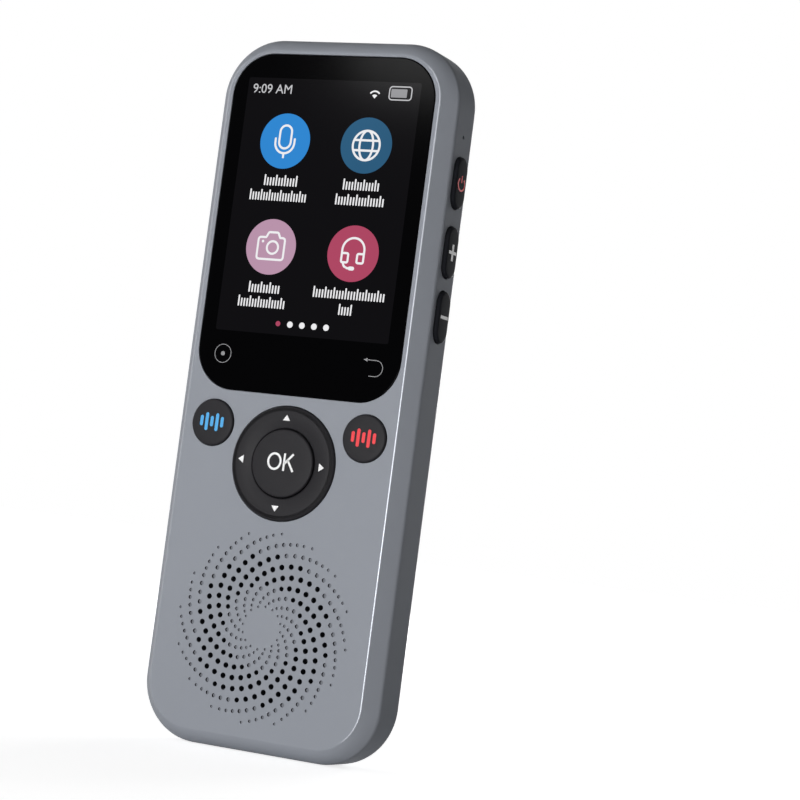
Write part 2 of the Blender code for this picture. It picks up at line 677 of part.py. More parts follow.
def make_display():
    """Cover glass, display panel and the plate behind them with its standoffs."""
    glass = slab(
        "cover_glass", GLASS_WIDTH, GLASS_LENGTH, GLASS_CORNER, 0.0, GLASS_THICKNESS,
        "glass_black", (0.0, GLASS_MIDDLE), GLASS_EDGE_ROUND, CORNER_STEPS,
    )
    smooth(glass)
    slab(
        "lcd_panel", DISPLAY_WIDTH, DISPLAY_LENGTH, DISPLAY_CORNER, DISPLAY_FRONT,
        DISPLAY_FRONT + DISPLAY_THICKNESS, "display_dark", (0.0, DISPLAY_MIDDLE), steps=3,
    )
    frame_middle = (FRAME_TOP + FRAME_BOTTOM) / 2
    frame = slab(
        "display_frame", DISPLAY_WIDTH + 2 * FRAME_MARGIN, FRAME_TOP - FRAME_BOTTOM, FRAME_CORNER,
        FRAME_FRONT, FRAME_FRONT + FRAME_PLATE, "steel", (0.0, frame_middle), steps=4,
    )
    for x, z in standoff_places():
        post = round_cutter(STANDOFF_RADIUS, FRAME_FRONT + FRAME_PLATE / 2, BOARD_DEPTH - GAP, (x, z), 20)
        join(frame, post)
        bore_floor = BOARD_DEPTH - GAP - SCREW_REACH - SCREW_CLEARANCE
        bore = round_cutter(STANDOFF_BORE, bore_floor, BOARD_DEPTH + CUT_OVERRUN, (x, z), 16)
        cut(frame, bore)
    smooth(frame)


def standoff_places():
    """Places (x, z) of the four posts that the board is screwed to."""
    frame_half = DISPLAY_WIDTH / 2 + FRAME_MARGIN
    lower_x = frame_half - STANDOFF_LOWER_INSET
    upper_x = frame_half - STANDOFF_UPPER_INSET
    upper = FRAME_TOP - STANDOFF_UPPER_DROP
    lower = FRAME_BOTTOM + STANDOFF_LOWER_RISE
    return [(-lower_x, lower), (lower_x, lower), (-upper_x, upper), (upper_x, upper)]


def make_ring_key():
    """The four-way ring, the rocker ring that carries it, and the middle key in its bore."""
    flange_top = FACE_WALL + RING_FLANGE_TOP_GAP
    flange_radius = RING_RADIUS + RING_FLANGE
    ring_profile = [
        (RING_BORE, -RING_DISH + KEY_EDGE_ROUND),
        (RING_BORE + KEY_EDGE_ROUND, -RING_DISH),
        (RING_RADIUS - 2 * KEY_EDGE_ROUND, -RING_PROUD),
        (RING_RADIUS - KEY_EDGE_ROUND / 2, -RING_PROUD + KEY_EDGE_ROUND / 2),
        (RING_RADIUS, -RING_PROUD + 2 * KEY_EDGE_ROUND),
        (RING_RADIUS, flange_top),
        (flange_radius, flange_top),
        (flange_radius, RING_BASE_DEPTH),
        (RING_BORE, RING_BASE_DEPTH),
    ]
    turned("dpad_ring", ring_profile, "key_black", (0.0, KEYS_HEIGHT))
    rocker_profile = [
        (ROCKER_INNER_RADIUS, ROCKER_FRONT),
        (ROCKER_OUTER_RADIUS, ROCKER_FRONT),
        (ROCKER_OUTER_RADIUS, ROCKER_FRONT + ROCKER_THICKNESS),
        (ROCKER_INNER_RADIUS, ROCKER_FRONT + ROCKER_THICKNESS),
    ]
    turned("dpad_rocker", rocker_profile, "key_black", (0.0, KEYS_HEIGHT))
    foot_top = RING_BASE_DEPTH + GAP
    ok_profile = [
        (0.0, -OK_PROUD),
        (OK_RADIUS / 2, -OK_PROUD + KEY_EDGE_ROUND / 4),
        (OK_RADIUS - KEY_EDGE_ROUND, -OK_PROUD + KEY_EDGE_ROUND),
        (OK_RADIUS, -OK_PROUD + 2 * KEY_EDGE_ROUND),
        (OK_RADIUS, foot_top),
        (OK_FLANGE_RADIUS, foot_top),
        (OK_FLANGE_RADIUS, foot_top + OK_FLANGE_THICKNESS),
        (0.0, foot_top + OK_FLANGE_THICKNESS),
    ]
    turned("ok_button", ok_profile, "key_black", (0.0, KEYS_HEIGHT))


def make_voice_keys():
    """Two round keys, each with a retaining flange under the face wall and a foot down to the key mat."""
    flange_top = FACE_WALL + GAP
    flange_radius = VOICE_KEY_RADIUS + VOICE_KEY_FLANGE
    foot = MAT_FRONT - MAT_GAP
    profile = [
        (0.0, -VOICE_KEY_PROUD),
        (VOICE_KEY_RADIUS / 2, -VOICE_KEY_PROUD + KEY_EDGE_ROUND / 4),
        (VOICE_KEY_RADIUS - KEY_EDGE_ROUND, -VOICE_KEY_PROUD + KEY_EDGE_ROUND),
        (VOICE_KEY_RADIUS, -VOICE_KEY_PROUD + 2 * KEY_EDGE_ROUND),
        (VOICE_KEY_RADIUS, flange_top),
        (flange_radius, flange_top),
        (flange_radius, flange_top + KEY_FLANGE_THICKNESS),
        (VOICE_KEY_FOOT_RADIUS, flange_top + KEY_FLANGE_THICKNESS),
        (VOICE_KEY_FOOT_RADIUS, foot),
        (0.0, foot),
    ]
    height = KEYS_HEIGHT + VOICE_KEY_RISE
    turned("voice_key_left", profile, "key_black", (-VOICE_KEY_X, height), VOICE_KEY_STEPS)
    turned("voice_key_right", profile, "key_black", (VOICE_KEY_X, height), VOICE_KEY_STEPS)


def make_key_mat():
    """The silicone mat and the snap domes on the board under it."""
    bottom = BOARD_BOTTOM + MAT_TAIL
    top = KEYS_HEIGHT + RING_RADIUS
    width = BODY_WIDTH - 2 * MAT_SIDE_MARGIN
    slab(
        "key_mat", width, top - bottom, MAT_CORNER, MAT_FRONT, MAT_FRONT + MAT_THICKNESS, "silicone",
        (0.0, (top + bottom) / 2), steps=3,
    )
    front = BOARD_DEPTH - GAP - DOME_HEIGHT
    profile = [
        (0.0, front),
        (DOME_RADIUS * DOME_CROWN_SHARE, front + DOME_HEIGHT / 6),
        (DOME_RADIUS, front + DOME_HEIGHT * 5 / 6),
        (DOME_RADIUS, front + DOME_HEIGHT),
        (0.0, front + DOME_HEIGHT),
    ]
    voice_height = KEYS_HEIGHT + VOICE_KEY_RISE
    places = {
        "dome_up": (0.0, KEYS_HEIGHT + DOME_REACH),
        "dome_down": (0.0, KEYS_HEIGHT - DOME_REACH),
        "dome_left": (-DOME_REACH, KEYS_HEIGHT),
        "dome_right": (DOME_REACH, KEYS_HEIGHT),
        "dome_ok": (0.0, KEYS_HEIGHT),
        "dome_voice_left": (-VOICE_KEY_X, voice_height),
        "dome_voice_right": (VOICE_KEY_X, voice_height),
    }
    for name, place in places.items():
        turned(name, profile, "steel", place, 16)


def make_main_board():
    """The circuit board, its four screws and the shield can on its back."""
    board = slab(
        "main_board", 2 * BOARD_HALF_WIDTH, BOARD_TOP - BOARD_BOTTOM, BOARD_CORNER, BOARD_DEPTH, BOARD_BACK,
        "board_green", (0.0, (BOARD_TOP + BOARD_BOTTOM) / 2), steps=4,
    )
    head_front = BOARD_BACK + GAP
    shank_front = BOARD_DEPTH - GAP - SCREW_REACH
    for number, (x, z) in enumerate(standoff_places(), start=1):
        drill = round_cutter(STANDOFF_BORE, BOARD_DEPTH - CUT_OVERRUN, BOARD_BACK + CUT_OVERRUN, (x, z), 16)
        cut(board, drill)
        profile = [
            (0.0, shank_front),
            (SCREW_SHANK_RADIUS, shank_front),
            (SCREW_SHANK_RADIUS, head_front),
            (SCREW_HEAD_RADIUS, head_front),
            (SCREW_HEAD_RADIUS, head_front + SCREW_HEAD_HEIGHT),
            (0.0, head_front + SCREW_HEAD_HEIGHT),
        ]
        turned(f"board_screw_{number}", profile, "steel", (x, z), SCREW_STEPS)
    middle = (0.0, depth_y(BOARD_BACK + GAP + SHIELD_HEIGHT / 2), SHIELD_CENTRE_HEIGHT)
    block("shield_can", (SHIELD_WIDTH, SHIELD_HEIGHT, SHIELD_LENGTH), middle, "steel", SHIELD_EDGE_ROUND)


def make_side_keys():
    """Three long keys in the right-hand wall, a switch behind each, and the narrow board under them."""
    inner_wall = HALF_WIDTH - SIDE_WALL
    flange_out = inner_wall - GAP
    flange_in = flange_out - SIDE_FLANGE_THICKNESS
    outer = HALF_WIDTH + SIDE_KEY_PROUD
    flange_length = SIDE_KEY_LENGTH + 2 * SIDE_FLANGE_MARGIN
    flange_width = SIDE_KEY_WIDTH + 2 * SIDE_FLANGE_MARGIN
    switch_out = flange_in - SIDE_SWITCH_GAP
    board_out = switch_out - SIDE_SWITCH_THICKNESS - GAP
    for name, drop in SIDE_KEY_DROPS.items():
        height = BODY_LENGTH - drop
        key = side_plate(
            name, SIDE_KEY_LENGTH, SIDE_KEY_WIDTH, flange_in + SIDE_FLANGE_THICKNESS / 2, outer,
            "key_black", 1, height, SIDE_MIDDLE_DEPTH, SIDE_KEY_ROUND,
        )
        flange = side_plate(
            "flange", flange_length, flange_width, flange_in, flange_out, None, 1, height, SIDE_MIDDLE_DEPTH
        )
        join(key, flange)
        smooth(key)
        middle = (switch_out - SIDE_SWITCH_THICKNESS / 2, depth_y(SIDE_MIDDLE_DEPTH), height)
        size = (SIDE_SWITCH_THICKNESS, SIDE_SWITCH_WIDTH, SIDE_SWITCH_LENGTH)
        block(name.replace("_button", "_switch"), size, middle, "steel")
    top = MIC_HEIGHT + SIDE_BOARD_END / 2
    bottom = BODY_LENGTH - max(SIDE_KEY_DROPS.values()) - SIDE_BOARD_END
    middle = (board_out - SIDE_BOARD_THICKNESS / 2, depth_y(SIDE_MIDDLE_DEPTH), (top + bottom) / 2)
    block("side_key_board", (SIDE_BOARD_THICKNESS, SIDE_BOARD_WIDTH, top - bottom), middle, "board_green")
    mic_near = board_out + GAP
    side_plate(
        "microphone", 2 * MIC_RADIUS, 2 * MIC_RADIUS, mic_near, mic_near + MIC_THICKNESS,
        "steel", 1, MIC_HEIGHT, SIDE_MIDDLE_DEPTH, steps=4,
    )


def make_card_tray():
    """A tray that slides out of the left-hand wall, with a pocket for a card, and its socket."""
    outer = HALF_WIDTH
    face_in = outer - TRAY_FACE_THICKNESS
    tray = side_plate(
        "card_tray", TRAY_FACE_LENGTH, TRAY_FACE_WIDTH, face_in, outer, "shell_grey", -1,
        TRAY_HEIGHT, TRAY_DEPTH, TRAY_FACE_ROUND,
    )
    blade_middle = -(face_in - TRAY_BLADE_LENGTH / 2 + GAP)
    blade_size = (TRAY_BLADE_LENGTH + GAP, TRAY_BLADE_THICKNESS, TRAY_BLADE_WIDTH)
    blade = block("tray_blade", blade_size, (blade_middle, depth_y(TRAY_DEPTH), TRAY_HEIGHT), None)
    join(tray, blade)
    blade_end = -(face_in - TRAY_BLADE_LENGTH)
    pocket_middle = blade_end - (TRAY_BLADE_WIDTH - TRAY_POCKET_WIDTH) / 2 - TRAY_POCKET_LENGTH / 2
    pocket_size = (TRAY_POCKET_LENGTH, TRAY_BLADE_THICKNESS + 2 * CUT_OVERRUN, TRAY_POCKET_WIDTH)
    cut(tray, block("pocket", pocket_size, (pocket_middle, depth_y(TRAY_DEPTH), TRAY_HEIGHT), None))
    smooth(tray)
    near = -BOARD_HALF_WIDTH + SOCKET_FROM_EDGE
    length = blade_end + SOCKET_END_ROOM - near
    slot_height = TRAY_BLADE_THICKNESS + 2 * GAP
    slot_width = TRAY_BLADE_WIDTH + 2 * GAP
    size = (length, slot_height + 2 * SOCKET_WALL, slot_width + 2 * SOCKET_WALL)
    middle = (near + length / 2, depth_y(TRAY_DEPTH), TRAY_HEIGHT)
    socket = block("card_socket", size, middle, "steel")
    hollow = (length, slot_height, slot_width)
    cut(socket, block("hollow", hollow, (middle[0] - SOCKET_WALL, middle[1], middle[2]), None))


def make_battery():
    """The flat lithium pouch behind the board, and the antenna foil inside the rear cover."""
    front = BOARD_BACK + GAP + SCREW_HEAD_HEIGHT + BATTERY_GAP
    back = COVER_INNER_DEPTH - GAP
    bottom = BOARD_BOTTOM + BATTERY_ABOVE_BOARD_END
    top = SHIELD_CENTRE_HEIGHT - SHIELD_LENGTH / 2 - BATTERY_TO_SHIELD
    size = (2 * (BOARD_HALF_WIDTH - BATTERY_SIDE_MARGIN), back - front, top - bottom)
    middle = (0.0, depth_y((front + back) / 2), (top + bottom) / 2)
    pouch = block("battery", size, middle, "battery_silver", BATTERY_ROUND)
    smooth(pouch)
    middle = (0.0, depth_y(back - ANTENNA_THICKNESS / 2), SHIELD_CENTRE_HEIGHT)
    block("wifi_antenna", (ANTENNA_WIDTH, ANTENNA_THICKNESS, ANTENNA_LENGTH), middle, "flex_amber")


def make_loudspeaker():
    """Dust mesh, gasket, basket, cone and magnet, stacked behind the grille."""
    place = (0.0, GRILLE_HEIGHT)
    mesh_front = FACE_WALL + GAP
    mesh_back = mesh_front + MESH_THICKNESS
    turned(
        "speaker_mesh",
        [(0.0, mesh_front), (MESH_RADIUS, mesh_front), (MESH_RADIUS, mesh_back), (0.0, mesh_back)],
        "cloth_black", place, SPEAKER_STEPS,
    )
    gasket_front = mesh_back + GAP
    gasket_back = gasket_front + GASKET_THICKNESS
    turned(
        "speaker_gasket",
        [(GASKET_INNER_RADIUS, gasket_front), (GASKET_OUTER_RADIUS, gasket_front),
         (GASKET_OUTER_RADIUS, gasket_back), (GASKET_INNER_RADIUS, gasket_back)],
        "silicone", place, SPEAKER_STEPS,
    )
    basket_front = gasket_back + GAP
    basket_back = basket_front + BASKET_DEPTH
    inner = BASKET_RADIUS - BASKET_WALL
    floor = basket_back - BASKET_FLOOR
    turned(
        "speaker_basket",
        [(inner, basket_front), (BASKET_RADIUS, basket_front), (BASKET_RADIUS, basket_back),
         (BASKET_BORE, basket_back), (BASKET_BORE, floor), (inner, floor)],
        "black_metal", place, SPEAKER_STEPS,
    )
    cone_front = basket_front + GAP
    turned(
        "speaker_cone",
        [(CONE_NECK, cone_front + CONE_FALL), (CONE_RADIUS, cone_front),
         (CONE_RADIUS, cone_front + CONE_THICKNESS), (CONE_NECK, cone_front + CONE_FALL + CONE_THICKNESS)],
        "cloth_black", place, SPEAKER_STEPS,
    )
    magnet_front = basket_back + GAP
    magnet_back = magnet_front + MAGNET_THICKNESS
    turned(
        "speaker_magnet",
        [(0.0, magnet_front), (MAGNET_RADIUS, magnet_front),
         (MAGNET_RADIUS, magnet_back), (0.0, magnet_back)],
        "magnet_nickel", place, SPEAKER_STEPS,
    )


def make_camera():
    """Spun ring in the rear cover, the barrel in its bore, the lens and the module on the board."""
    place = (0.0, CAMERA_HEIGHT)
    top = BODY_DEPTH + CAMERA_RING_PROUD
    base = COVER_INNER_DEPTH
    bore = CAMERA_BARREL_RADIUS + GAP
    cone_inner = top - CAMERA_CONE_DROP
    turned(
        "camera_ring",
        [(bore, base), (CAMERA_RING_RADIUS, base), (CAMERA_RING_RADIUS, top - CAMERA_RING_PROUD / 2),
         (CAMERA_RING_RADIUS - CAMERA_RING_LIP / 3, top), (CAMERA_RING_RADIUS - CAMERA_RING_LIP, top),
         (bore, cone_inner)],
        "black_metal", place, CAMERA_STEPS,
    )
    module_front = BOARD_BACK + GAP
    foot = COVER_INNER_DEPTH - CAMERA_BARREL_FOOT
    module_back = foot - GAP
    middle = (0.0, depth_y((module_front + module_back) / 2), CAMERA_HEIGHT)
    size = (CAMERA_MODULE_SIZE, module_back - module_front, CAMERA_MODULE_SIZE)
    block("camera_module", size, middle, "black_metal")
    barrel_top = cone_inner - CAMERA_BARREL_BELOW
    turned(
        "camera_barrel",
        [(CAMERA_BARREL_BORE, foot), (CAMERA_BARREL_RADIUS, foot), (CAMERA_BARREL_RADIUS, barrel_top),
         (CAMERA_BARREL_BORE, barrel_top)],
        "key_black", place, CAMERA_STEPS // 2,
    )
    lens_top = barrel_top - CAMERA_LENS_BELOW
    turned(
        "camera_lens",
        [(0.0, foot), (CAMERA_LENS_RADIUS, foot), (CAMERA_LENS_RADIUS, lens_top - CAMERA_LENS_CROWN),
         (CAMERA_LENS_RADIUS / 2, lens_top - CAMERA_LENS_CROWN / 4), (0.0, lens_top)],
        "lens_glass", place, CAMERA_STEPS // 2,
    )


def make_usb():
    """The USB inlet, flush with the bottom end, its tongue, and the small board it is soldered to."""
    shell = usb_sleeve("usb_c_port", 0.0, 0.0, USB_LENGTH, "steel")
    hollow = usb_sleeve("hollow", -USB_WALL, -CUT_OVERRUN, USB_LENGTH - USB_WALL, None)
    cut(shell, hollow)
    tongue_bottom = 2 * USB_WALL
    tongue_top = USB_LENGTH - USB_WALL / 2
    middle = (0.0, depth_y(SIDE_MIDDLE_DEPTH), (tongue_bottom + tongue_top) / 2)
    tongue_size = (USB_TONGUE_WIDTH, USB_TONGUE_THICKNESS, tongue_top - tongue_bottom)
    join(shell, block("tongue", tongue_size, middle, None))
    front = SIDE_MIDDLE_DEPTH + USB_HEIGHT / 2 + GAP
    bottom = SIDE_WALL + GAP
    slab(
        "usb_board", USB_BOARD_WIDTH, USB_BOARD_LENGTH, USB_BOARD_CORNER, front, front + USB_BOARD_THICKNESS,
        "board_green", (0.0, bottom + USB_BOARD_LENGTH / 2), steps=3,
    )


clear_scene()
PARTS = make_collection("handheld_translator")
CUTTERS = make_collection("cutters")
MATERIALS = {name: make_material(name) for name in COLOURS}
make_front_housing()
make_rear_cover()
make_display()
make_ring_key()
make_voice_keys()
make_key_mat()
make_main_board()
make_side_keys()
make_card_tray()
make_battery()
make_loudspeaker()
make_camera()
make_usb()
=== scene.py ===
# %% [markdown]
# # Dressing a handheld translator
# The real object is a slim grey bar, a little longer than a hand. A black glass with a lit display fills its
# upper half. Under it sit a ring key with a middle key, a round key on each side, and a speaker grille whose
# holes follow a spiral. This lesson gives each outer piece a fine surface and each material its own grain.
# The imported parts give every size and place, so nothing here has to be fitted.

# %% Load the parts
import math

import bmesh
import bpy
import numpy as np
from mathutils import Matrix, Vector


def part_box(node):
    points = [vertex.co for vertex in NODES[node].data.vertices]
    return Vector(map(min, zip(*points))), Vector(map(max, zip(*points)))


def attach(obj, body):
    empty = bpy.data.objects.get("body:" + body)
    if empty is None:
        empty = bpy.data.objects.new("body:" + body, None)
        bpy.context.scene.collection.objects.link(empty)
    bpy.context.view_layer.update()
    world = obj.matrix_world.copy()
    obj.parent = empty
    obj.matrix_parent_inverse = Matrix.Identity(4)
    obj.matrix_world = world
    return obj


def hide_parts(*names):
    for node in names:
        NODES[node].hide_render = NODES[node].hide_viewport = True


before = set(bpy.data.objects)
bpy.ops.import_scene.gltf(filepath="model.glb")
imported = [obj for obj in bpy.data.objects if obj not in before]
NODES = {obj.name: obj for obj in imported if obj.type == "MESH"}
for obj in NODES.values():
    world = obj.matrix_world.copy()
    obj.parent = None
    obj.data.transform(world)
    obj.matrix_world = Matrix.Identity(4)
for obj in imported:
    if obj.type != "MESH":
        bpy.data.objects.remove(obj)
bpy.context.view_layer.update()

MM = 0.001

# %% [markdown]
# ## The camera
# The camera comes first, because every look at the piece is judged from its place. It stands a little to the
# right of the bar and low down, so that the front face and the wall with the side keys both show. It is also
# turned about its own line of sight, which makes the standing bar lean as it does in a catalogue picture.
# The place and the turn were found by fitting the bar's edges and round keys.

# %% Camera
CAMERA_STAND = (0.20635, -0.39344, 0.04176)
CAMERA_RIGHT = (0.8985, 0.4196, 0.1287)
CAMERA_BACK = (0.4296, -0.9009, -0.0619)


def into_scene(name, data):
    """Put an object with this data into the scene, at the origin."""
    thing = bpy.data.objects.new(name, data)
    bpy.context.scene.collection.objects.link(thing)
    return thing


camera_data = bpy.data.cameras.new("camera")
camera_data.lens = 105.3
camera_data.sensor_width = 36.0
camera_data.clip_start = 0.01
right = Vector(CAMERA_RIGHT).normalized()
back = Vector(CAMERA_BACK)
back = (back - back.dot(right) * right).normalized()
up = back.cross(right)
turn = Matrix((right, up, back)).transposed().to_4x4()
camera = into_scene("camera", camera_data)
camera.matrix_world = Matrix.Translation(CAMERA_STAND) @ turn
bpy.context.scene.camera = camera
bpy.context.scene.view_settings.view_transform = "Standard"
print("camera set, lens", camera_data.lens, "mm")

# %% [markdown]
# ## Sizes
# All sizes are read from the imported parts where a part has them. `depth` is always the distance behind the
# front face, so a depth of zero is the face and a negative depth stands proud of it.

# %% Sizes from the parts
housing_low, housing_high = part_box("front_housing")
cover_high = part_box("rear_cover")[1]
glass_low, glass_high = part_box("cover_glass")
HALF_WIDTH = housing_high.x
LENGTH = housing_high.z
FACE_Y = housing_low.y
THICKNESS = cover_high.y - FACE_Y
RIM_DEPTH = housing_high.y - FACE_Y
CORNER = 11.7 * MM


def centre_of(node):
    """The middle (x, z) of a part's box, seen from the front."""
    low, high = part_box(node)
    return (low.x + high.x) / 2, (low.z + high.z) / 2


KEYS = centre_of("dpad_ring")
GRILLE = centre_of("speaker_mesh")
CAMERA_PLACE = centre_of("camera_ring")
print("bar", round(2000 * HALF_WIDTH, 2), "x", round(1000 * LENGTH, 2), "x", round(1000 * THICKNESS, 2), "mm")

# %% [markdown]
# ## From a grid of points to a piece
# Almost every surface here is one grid: its rows are stations along a profile and its columns run round the
# piece. Numpy works out all the points at once, and `foreach_set` hands them to the mesh in one go. The ends
# of a tube-like grid are closed with one face each, or run into a single point on the axis.


# %% Mesh helpers
FULLY_ROUND = 0.9999


def grid_faces(rows, columns):
    """Corner numbers of every quad on a grid that closes on itself round its columns.

    Point (r, c) has the number r * columns + c. Its quad joins (r, c), (r, c+1), (r+1, c+1) and (r+1, c),
    where c+1 starts again at 0 after the last column.
    """
    r = np.arange(rows - 1)[:, None] * columns
    c = np.arange(columns)[None, :]
    n = (c + 1) % columns
    return np.stack([r + c, r + n, r + columns + n, r + columns + c], axis=-1).reshape(-1, 4)


def end_caps(rows, columns):
    """Corner numbers of the two faces that close a grid at its first and its last row."""
    row = np.arange(columns)
    return [row[::-1], row + (rows - 1) * columns]


def mend(mesh):
    """Merge points that meet, and turn every face outwards."""
    shape = bmesh.new()
    shape.from_mesh(mesh)
    bmesh.ops.remove_doubles(shape, verts=shape.verts, dist=1e-7)
    bmesh.ops.recalc_face_normals(shape, faces=shape.faces)
    shape.to_mesh(mesh)
    shape.free()


def make_piece(name, points, quads, caps, material, body, sharp=35.0, replaced=(), slot=None):
    """Make one mesh object from points, quads and end faces, and let it ride on a body."""
    mesh = bpy.data.meshes.new(name)
    corners = np.concatenate([quads.ravel()] + [np.asarray(cap) for cap in caps]).astype(np.int32)
    sizes = np.concatenate([np.full(len(quads), 4), [len(cap) for cap in caps]]).astype(np.int32)
    mesh.vertices.add(len(points))
    mesh.vertices.foreach_set("co", np.asarray(points, np.float32).ravel())
    mesh.loops.add(len(corners))
    mesh.loops.foreach_set("vertex_index", corners)
    mesh.polygons.add(len(sizes))
    mesh.polygons.foreach_set("loop_start", np.concatenate([[0], np.cumsum(sizes)[:-1]]).astype(np.int32))
    mesh.update(calc_edges=True)
    mend(mesh)
    piece = into_scene(name, mesh)
    dress(piece, material, body, sharp, replaced)
    return piece


def dress(piece, material, body, sharp=35.0, replaced=()):
    """Give a piece its finish, smooth its shading between sharp edges, and join it to its body."""
    if material:
        piece.data.materials.clear()
        piece.data.materials.append(material)
    piece.data.shade_smooth()
    piece.data.set_sharp_from_angle(angle=math.radians(sharp))
    if body:
        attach(piece, body)
    if replaced:
        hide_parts(*replaced)


def softened(points, rounds, steps=6):
    """Round the corners of a profile.

    At a corner with a round of size s, the profile leaves the straight line s before the corner and joins the
    next one s after it. Between them it follows (1-t)^2 A + 2t(1-t) corner + t^2 B. One extra point before
    and after each round keeps the flats flat in the shading.
    """
    points = np.asarray(points, float)
    t = np.linspace(0.0, 1.0, steps + 1)[:, None]
    parts = [points[:1]]
    for before, corner, after, size in zip(points[:-2], points[1:-1], points[2:], rounds):
        if size <= 0.0:
            parts.append(corner[None])
            continue
        to_before = (before - corner) / np.linalg.norm(before - corner)
        to_after = (after - corner) / np.linalg.norm(after - corner)
        a = corner + to_before * size
        b = corner + to_after * size
        curve = (1 - t) ** 2 * a + 2 * t * (1 - t) * corner + t**2 * b
        parts += [(corner + to_before * size * 1.35)[None], curve, (corner + to_after * size * 1.35)[None]]
    parts.append(points[-1:])
    return np.concatenate(parts)


def laid(a, b, level, place, side=0):
    """Points from two flat coordinates and a level.

    On the front (side 0), a runs along x, b up the bar, and the level is a depth behind the face. On a side
    wall (+1 or -1), a runs along y, b up the bar, and the level is a reach from the bar's middle.
    """
    level = np.broadcast_to(level, a.shape)
    columns = (place[0] + a, FACE_Y + level) if side == 0 else (side * level, place[0] + a)
    return np.stack([*columns, place[1] + b], axis=-1).reshape(-1, 3)


def turned_piece(name, profile, place, material, body, steps=128, **more):
    """Turn a profile of (radius, depth) rows about an axis along Y.

    Point (r, c) is at x = radius * cos(angle), z = radius * sin(angle), with the angle growing evenly round.
    The profile starts and ends on the axis, or is closed on itself where the piece is a ring.
    """
    profile = np.asarray(profile, float)
    if profile[0, 0] > 0.0:
        profile = np.concatenate([profile, profile[:1]])
    radius, depth = profile[:, :1], profile[:, 1:]
    angle = np.linspace(0.0, 2 * np.pi, steps, endpoint=False)[None, :]
    points = laid(radius * np.cos(angle), radius * np.sin(angle), depth, place)
    return make_piece(name, points, grid_faces(len(profile), steps), [], material, body, **more)


def rounded_loop(half_a, half_b, corner, steps):
    """Points of rounded rectangles, one row for each set of sizes.

    Each corner is a quarter circle of `steps` chords about a centre that lies the corner radius inside both
    sides. Sizes are arrays, so that one call gives every section of a loft.
    """
    half_a, half_b, corner = (np.atleast_1d(np.asarray(v, float))[:, None] for v in (half_a, half_b, corner))
    quarter = np.linspace(0.0, np.pi / 2, steps + 1)
    angle = np.concatenate([quarter + k * np.pi / 2 for k in range(4)])[None, :]
    side_a = np.repeat([1, -1, -1, 1], steps + 1)[None, :]
    side_b = np.repeat([1, 1, -1, -1], steps + 1)[None, :]
    a = side_a * (half_a - corner) + corner * np.cos(angle)
    b = side_b * (half_b - corner) + corner * np.sin(angle)
    return a, b


def lofted_piece(name, half_a, half_b, corner, level, middle, material, body, side=0, steps=16, **more):
    """A closed piece through rounded rectangles: side 0 faces the front, +1 or -1 a side wall.

    A size that is one number holds for all its sections, so a straight piece needs only two levels.
    """
    half_a, half_b, corner, level = np.broadcast_arrays(half_a, half_b, corner, level)
    a, b = rounded_loop(half_a, half_b, corner, steps)
    level = level[:, None]
    points = laid(a, b, level, middle) if side == 0 else laid(b, a, level, middle, side)
    return make_piece(name, points, grid_faces(*a.shape), end_caps(*a.shape), material, body, **more)


def carve(piece, cutter):
    """Cut one mesh out of another and keep the result."""
    cut = piece.modifiers.new("cut", "BOOLEAN")
    cut.operation = "DIFFERENCE"
    cut.solver = "EXACT"
    cut.material_mode = "TRANSFER"
    cut.object = cutter
    graph = bpy.context.evaluated_depsgraph_get()
    result = bpy.data.meshes.new_from_object(piece.evaluated_get(graph))
    piece.modifiers.clear()
    piece.data = result
    bpy.data.objects.remove(cutter, do_unlink=True)
    shape = bmesh.new()
    shape.from_mesh(result)
    loose = sum(1 for edge in shape.edges if len(edge.link_faces) != 2)
    shape.free()
    if loose:
        print("open edges after a cut in", piece.name, loose)


# %% [markdown]
# ## Finishes
# A finish on a real product is never one flat colour. The paint on the shell holds fine metal flakes, the
# keys have a fine moulded grain, and handling leaves soft patches that are a little glossier. One node group
# makes all of these: it mixes a fine noise and a broad one, and hands a colour, a roughness and a height to
# the shader of each material. The shader itself stays in the material, with its constants on its own sockets.


# %% The grain group
COLOUR = "NodeSocketColor"
NUMBER = "NodeSocketFloat"
BROAD_SCALE = 38.0


def new_group(name, inputs, outputs):
    """A node group with its named inputs and outputs, and the node that its results go to."""
    group = bpy.data.node_groups.new(name, "ShaderNodeTree")
    for title, kind, value in inputs:
        group.interface.new_socket(name=title, in_out="INPUT", socket_type=kind).default_value = value
    for title, kind in outputs:
        group.interface.new_socket(name=title, in_out="OUTPUT", socket_type=kind)
    return group, group.nodes.new("NodeGroupOutput")


def maths(tree, kind, first, second):
    """One step of arithmetic. Each input is a socket or a number."""
    node = tree.nodes.new("ShaderNodeMath")
    node.operation = kind
    for number, value in enumerate((first, second)):
        if isinstance(value, (int, float)):
            node.inputs[number].default_value = value
        else:
            tree.links.new(value, node.inputs[number])
    return node.outputs[0]


